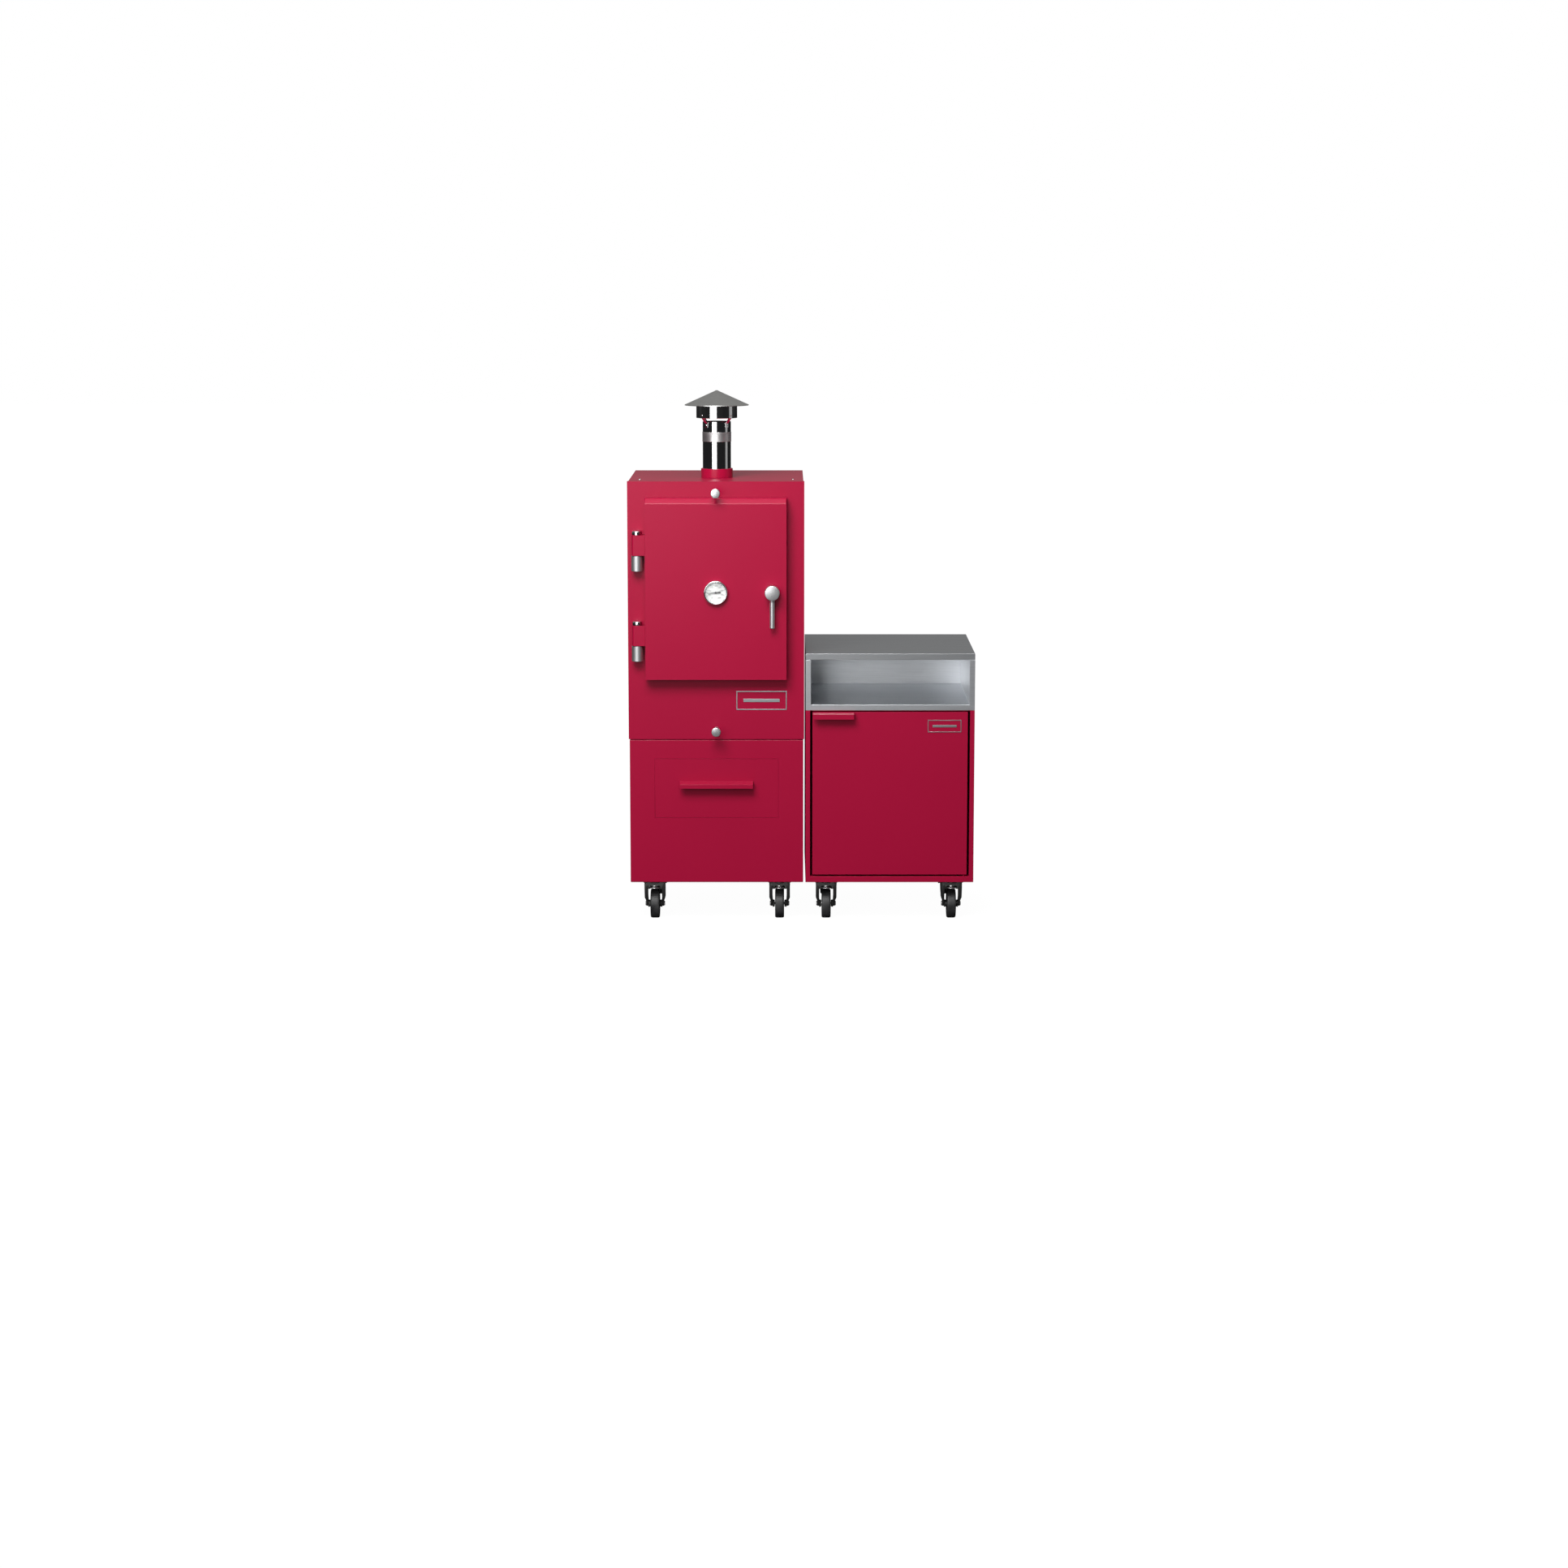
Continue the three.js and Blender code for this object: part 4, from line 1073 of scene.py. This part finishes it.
# %% Latch hub and lever
hub_low, hub_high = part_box("latch_hub")
HUB = Vector(((hub_low.x + hub_high.x) / 2, hub_high.y, (hub_low.z + hub_high.z) / 2))
hub = turned("latch_hub_turned", [
    (0, 0), (19.5, 0), (20, 0.6), (20, 4), (24.2, 6.2), (25.5, 8.0), (25.5, 42.2), (25.0, 43.6),
    (23.6, 44.7), (0, 44.7)], HUB, "front", 96)
fit(smooth(hub, 50), "latch", "brushed_steel", knob_steel, "latch_hub")
lever_low, lever_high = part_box("latch_lever")
lever_axis = Vector(((lever_low.x + lever_high.x) / 2, (lever_low.y + lever_high.y) / 2, lever_low.z))
reach = (lever_high.z - lever_low.z) / MM
lever = turned("latch_lever_turned", [
    (0, 0), (5.4, 0), (7.6, 0.9), (8.7, 3.0), (8.7, reach - 9), (8.1, reach - 8), (8.1, reach - 6.5),
    (8.7, reach - 5.5), (8.7, reach), (0, reach)], lever_axis, sides=48)
fit(smooth(lever, 50), "latch", "brushed_steel", block_steel, "latch_lever")


# %% Vent knobs with their bushes
def vent_knob(node, body):
    low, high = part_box(node)
    centre = Vector(((low.x + high.x) / 2, high.y, (low.z + high.z) / 2))
    knob = turned(node + "_turned", [
        (0, 0), (9.5, 0), (9.5, 2.2), (14.6, 3.2), (16, 4.6), (16, 20.2), (15.5, 21.3), (14.2, 22),
        (0, 22)], centre, "front")
    fit(smooth(knob, 50), body, "brushed_steel", knob_steel, node)
    bush = turned(node.replace("knob", "bush"), [
        (6.1, 0), (11, 0), (11, 1.2), (9.8, 2.2), (6.1, 2.2), (6.1, 0)],
        (centre.x, OVEN.y, centre.z), "front", 48)
    fit(smooth(bush), "stand", "chrome", chrome_plate)
    return knob


for knob_node, body in (("top_vent_knob", "top_vent"), ("bottom_vent_knob", "bottom_vent")):
    print(vent_knob(knob_node, body).name)

# %% [markdown]
# ## Casters
#
# A caster has a ball race under its plate, a stamped fork, an axle bolt, and a rubber tyre on a
# moulded core. One set is modelled about the floor point under its swivel axis, and then copied to
# the eight places, each copy with its own mesh. The legs are pressed sheet: a blank is drawn from the
# side, its lower end pushed in towards the wheel, and a rib pressed into its flank.

# %% One fork
AXLE_BACK, AXLE_UP = 28, 51
SWIVEL_BACK = 27  # from the front of the fork's CAD box to its swivel axis
STEP_TOP, STEP_FOOT = 78, 62  # heights between which a leg steps in towards the wheel


def select_faces(thing, test):
    """Selects, in edit mode, the faces whose centre and normal pass the test."""
    bpy.ops.object.mode_set(mode="OBJECT")
    for face in thing.data.polygons:
        face.select = test(face.center / MM, face.normal)
    bpy.ops.object.mode_set(mode="EDIT")


def fork_leg(side):
    leg = folded("leg", [(-21, 131), (-19, 112), (-8, 88), (14, 52), (20, 44), (28, 41), (36, 44),
                         (41, 52), (41, 100), (38, 131)], 24.6, 36.6)
    edit(leg, "DESELECT")
    for height in (STEP_TOP, STEP_FOOT):
        bpy.ops.mesh.select_all(action="SELECT")
        bpy.ops.mesh.bisect(plane_co=(0, 0, height * MM), plane_no=(0, 0, 1))
    bpy.ops.object.mode_set(mode="OBJECT")
    for corner in leg.data.vertices:
        if corner.co.z < (STEP_TOP + STEP_FOOT) / 2 * MM:
            corner.co.x -= (5.6 if corner.co.x > 30 * MM else 1.2) * MM
    edit(leg, "DESELECT")
    select_faces(leg, lambda centre, normal: normal.x > 0.9 and centre.z > STEP_TOP)
    bpy.ops.mesh.inset(thickness=6 * MM, depth=-2.2 * MM)
    close(leg)
    rounded(leg, 1.6, segments=3, angle=25)
    if side < 0:
        leg.scale.x = -1
        settle(leg)
        edit(leg)
        close(leg)
    return leg


legs = [fork_leg(1), fork_leg(-1)]
crown = block("crown", (-36.6 * MM, -21 * MM, 127 * MM), (36.6 * MM, 38 * MM, 131 * MM))
edit(crown, "DESELECT")
bpy.ops.object.mode_set(mode="OBJECT")
for edge in crown.data.edges:
    a, b = (crown.data.vertices[i].co for i in edge.vertices)
    edge.select = abs(a.z - b.z) > 3 * MM
bpy.ops.object.mode_set(mode="EDIT")
bpy.ops.mesh.bevel(offset=9 * MM, segments=5)
close(crown)
rounded(crown, 0.8)
race = turned("race", [(0, 130.5), (20, 130.5), (25.5, 131.4), (27, 132.4), (27, 133.4), (25.6, 134.0),
                       (25.6, 134.8), (27, 135.3), (27, 136.8), (26, 137.7), (0, 137.7)], (0, 0, 0))
smooth(race, 40)
cheeks = [rounded(block("cheek", (x0 * MM, -6 * MM, 108 * MM), (x1 * MM, 30 * MM, 128 * MM)), 1.5)
          for x0, x1 in ((15.5, 27), (-27, -15.5))]
fork_pattern = joined("fork_pattern", *legs, crown, race, *cheeks)
print("fork:", len(fork_pattern.data.polygons), "faces")

# %% Its bright kingpin, axle bolt and black bosses
kingpin = turned("kingpin", [(0, 111.5), (18, 111.5), (20.4, 112.6), (20.6, 113.8), (20.2, 115.4),
                             (19.0, 117.2), (17.0, 118.6), (14.0, 119.4), (13.6, 120.4), (13.6, 122),
                             (13.0, 124.4), (11.6, 126.6), (10, 127.5), (0, 127.5)], (0, -4 * MM, 0))
smooth(kingpin, 50)
axle_at = Vector((0, AXLE_BACK, AXLE_UP)) * MM


def along_axle(x):
    """A point on the axle, x millimetres to the right of the wheel's middle."""
    return axle_at + Vector((x * MM, 0, 0))


bolt = turned("bolt", [(0, 0), (5, 0), (5, 3.6), (0, 3.6)], along_axle(30.6), "right")
head = turned("head", [(0, 0), (8.0, 0), (8.4, 0.6), (8.4, 2.2), (7.6, 3.0), (0, 3.0)],
              along_axle(30.9), "right", 6)
nut = turned("nut", [(0, 0), (8.0, 0), (8.4, 0.6), (8.4, 2.6), (7.6, 3.4), (0, 3.4)],
             along_axle(-30.9), "left", 6)
shaft = rod("shaft", along_axle(-31), along_axle(31), 5.0)
bright_pattern = joined("bright_pattern", kingpin, rounded(head, 0.4), rounded(nut, 0.4), shaft, bolt)
bosses = [turned("boss", [(5.2, 0), (11, 0), (12.2, 1.0), (13.4, 7.6), (5.2, 7.6), (5.2, 0)],
                 along_axle(side * 16.8), towards, 48)
          for side, towards in ((1, "right"), (-1, "left"))]
boss_pattern = smooth(joined("boss_pattern", *bosses))

# %% One wheel: tyre and core
tyre_pattern = turned("tyre_pattern", [
    (37.5, -13.2), (41, -14.6), (45, -15.8), (47.6, -15.6), (49.4, -14.2), (50.6, -11.6), (51, -8),
    (51, 8), (50.6, 11.6), (49.4, 14.2), (47.6, 15.6), (45, 15.8), (41, 14.6), (37.5, 13.2),
    (37.5, -13.2)], axle_at, "right", 96)
smooth(tyre_pattern, 40)
core_half = [(5.7, 15.6), (11.5, 15.6), (12.5, 14.6), (12.5, 11), (14, 8.2), (32, 7.2), (34.4, 9),
             (36, 13.4), (37.6, 13.9), (37.6, 0)]
core_outline = core_half + [(r, -x) for r, x in reversed(core_half[:-1])]
core_pattern = turned("core_pattern", core_outline + core_outline[:1], axle_at, "right", 72)
smooth(core_pattern, 40)
print("wheel:", len(tyre_pattern.data.polygons) + len(core_pattern.data.polygons), "faces")

# %% Plate bolts, on the fixed casing
bolt_outline = [(0, 0), (5.6, 0), (6.4, 0.7), (6.4, 2.8), (5.4, 3.6), (0, 3.6)]
plate_bolts = [turned("bolt", bolt_outline, (x * MM, y * MM, 138 * MM), "down", 6)
               for x in (-33, 33) for y in (-25, 25)]
bolt_pattern = rounded(joined("bolt_pattern", *plate_bolts), 0.3)

# %% The eight casters
for unit in ("oven", "cabinet"):
    for place in ("front_left", "front_right", "rear_left", "rear_right"):
        fork_node, wheel_node = f"{unit}_fork_{place}", f"{unit}_wheel_{place}"
        low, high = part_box(fork_node)
        swivel = Vector(((low.x + high.x) / 2, low.y + SWIVEL_BACK * MM, 0)) / MM
        made = [(fork_pattern, "stamped", fork_node, "chrome", fork_zinc, (fork_node,)),
                (bright_pattern, "pins", fork_node, "chrome", pin_zinc, ()),
                (boss_pattern, "bosses", fork_node, "tyre_rubber", boss_black, ()),
                (tyre_pattern, "tyre", wheel_node, "tyre_rubber", tyre_black, (wheel_node,)),
                (core_pattern, "core", wheel_node, "tyre_rubber", core_black, ()),
                (bolt_pattern, "plate_bolts", "stand", "chrome", fork_zinc, ())]
        for pattern, word, body, slot_name, material, nodes in made:
            fit(copied(pattern, f"{unit}_{word}_{place}", swivel), body, slot_name, material, *nodes)
for pattern in (fork_pattern, bright_pattern, boss_pattern, tyre_pattern, core_pattern, bolt_pattern):
    bpy.data.objects.remove(pattern)
print("last swivel axis at", tuple(round(v, 1) for v in swivel[:2]))

# %% [markdown]
# ## Plates and screws
#
# Each unit carries a small plate. Here it is a blank one: a thin steel border with a plain bar across
# the middle. Two screws on the oven's top hold its lid.

# %% Blank plates
PLATE_THICK = 1.3
BAR_REACH, BAR_HALF = 0.36, 1.6  # shares of the plate's width and of the border's line


def blank_plate(name, unit, x0, x1, z0, z1, line, body):
    border = block(name, at(unit, x0, -PLATE_THICK, z0), at(unit, x1, 0, z1))
    window = block("window", at(unit, x0 + line, -3, z0 + line), at(unit, x1 - line, 3, z1 - line))
    carve(border, window)
    middle, reach = (z0 + z1) / 2, (x1 - x0) * BAR_REACH
    centre = (x0 + x1) / 2
    bar = block("bar", at(unit, centre - reach, -PLATE_THICK, middle - BAR_HALF * line),
                at(unit, centre + reach, 0, middle + BAR_HALF * line))
    plate_piece = joined(name, rounded(border, 0.35), rounded(bar, 0.5))
    return fit(plate_piece, body, "brushed_steel", worktop_steel)


blank_plate("oven_blank_plate", OVEN, 69, 243, 747, 813, 3.6, "stand")
blank_plate("cabinet_blank_plate", CABINET, 130, 246, 669, 712, 2.6, "cabinet_door")

# %% Lid screws
SCREW_OUT, SCREW_BACK = 264, 100
screw_outline = [(0, -1), (4.6, -1), (4.6, 0.6), (3.9, 1.7), (2.4, 2.5), (0, 2.8)]
for side in (-1, 1):
    screw = turned(f"lid_screw_{'left' if side < 0 else 'right'}", screw_outline,
                   at(OVEN, side * SCREW_OUT, SCREW_BACK, 1534), sides=32)
    slot = block("slot", at(OVEN, side * SCREW_OUT - 5, SCREW_BACK - 0.5, 1535.6),
                 at(OVEN, side * SCREW_OUT + 5, SCREW_BACK + 0.5, 1538))
    carve(screw, slot)
    fit(smooth(screw), "stand", "chrome", chrome_plate)
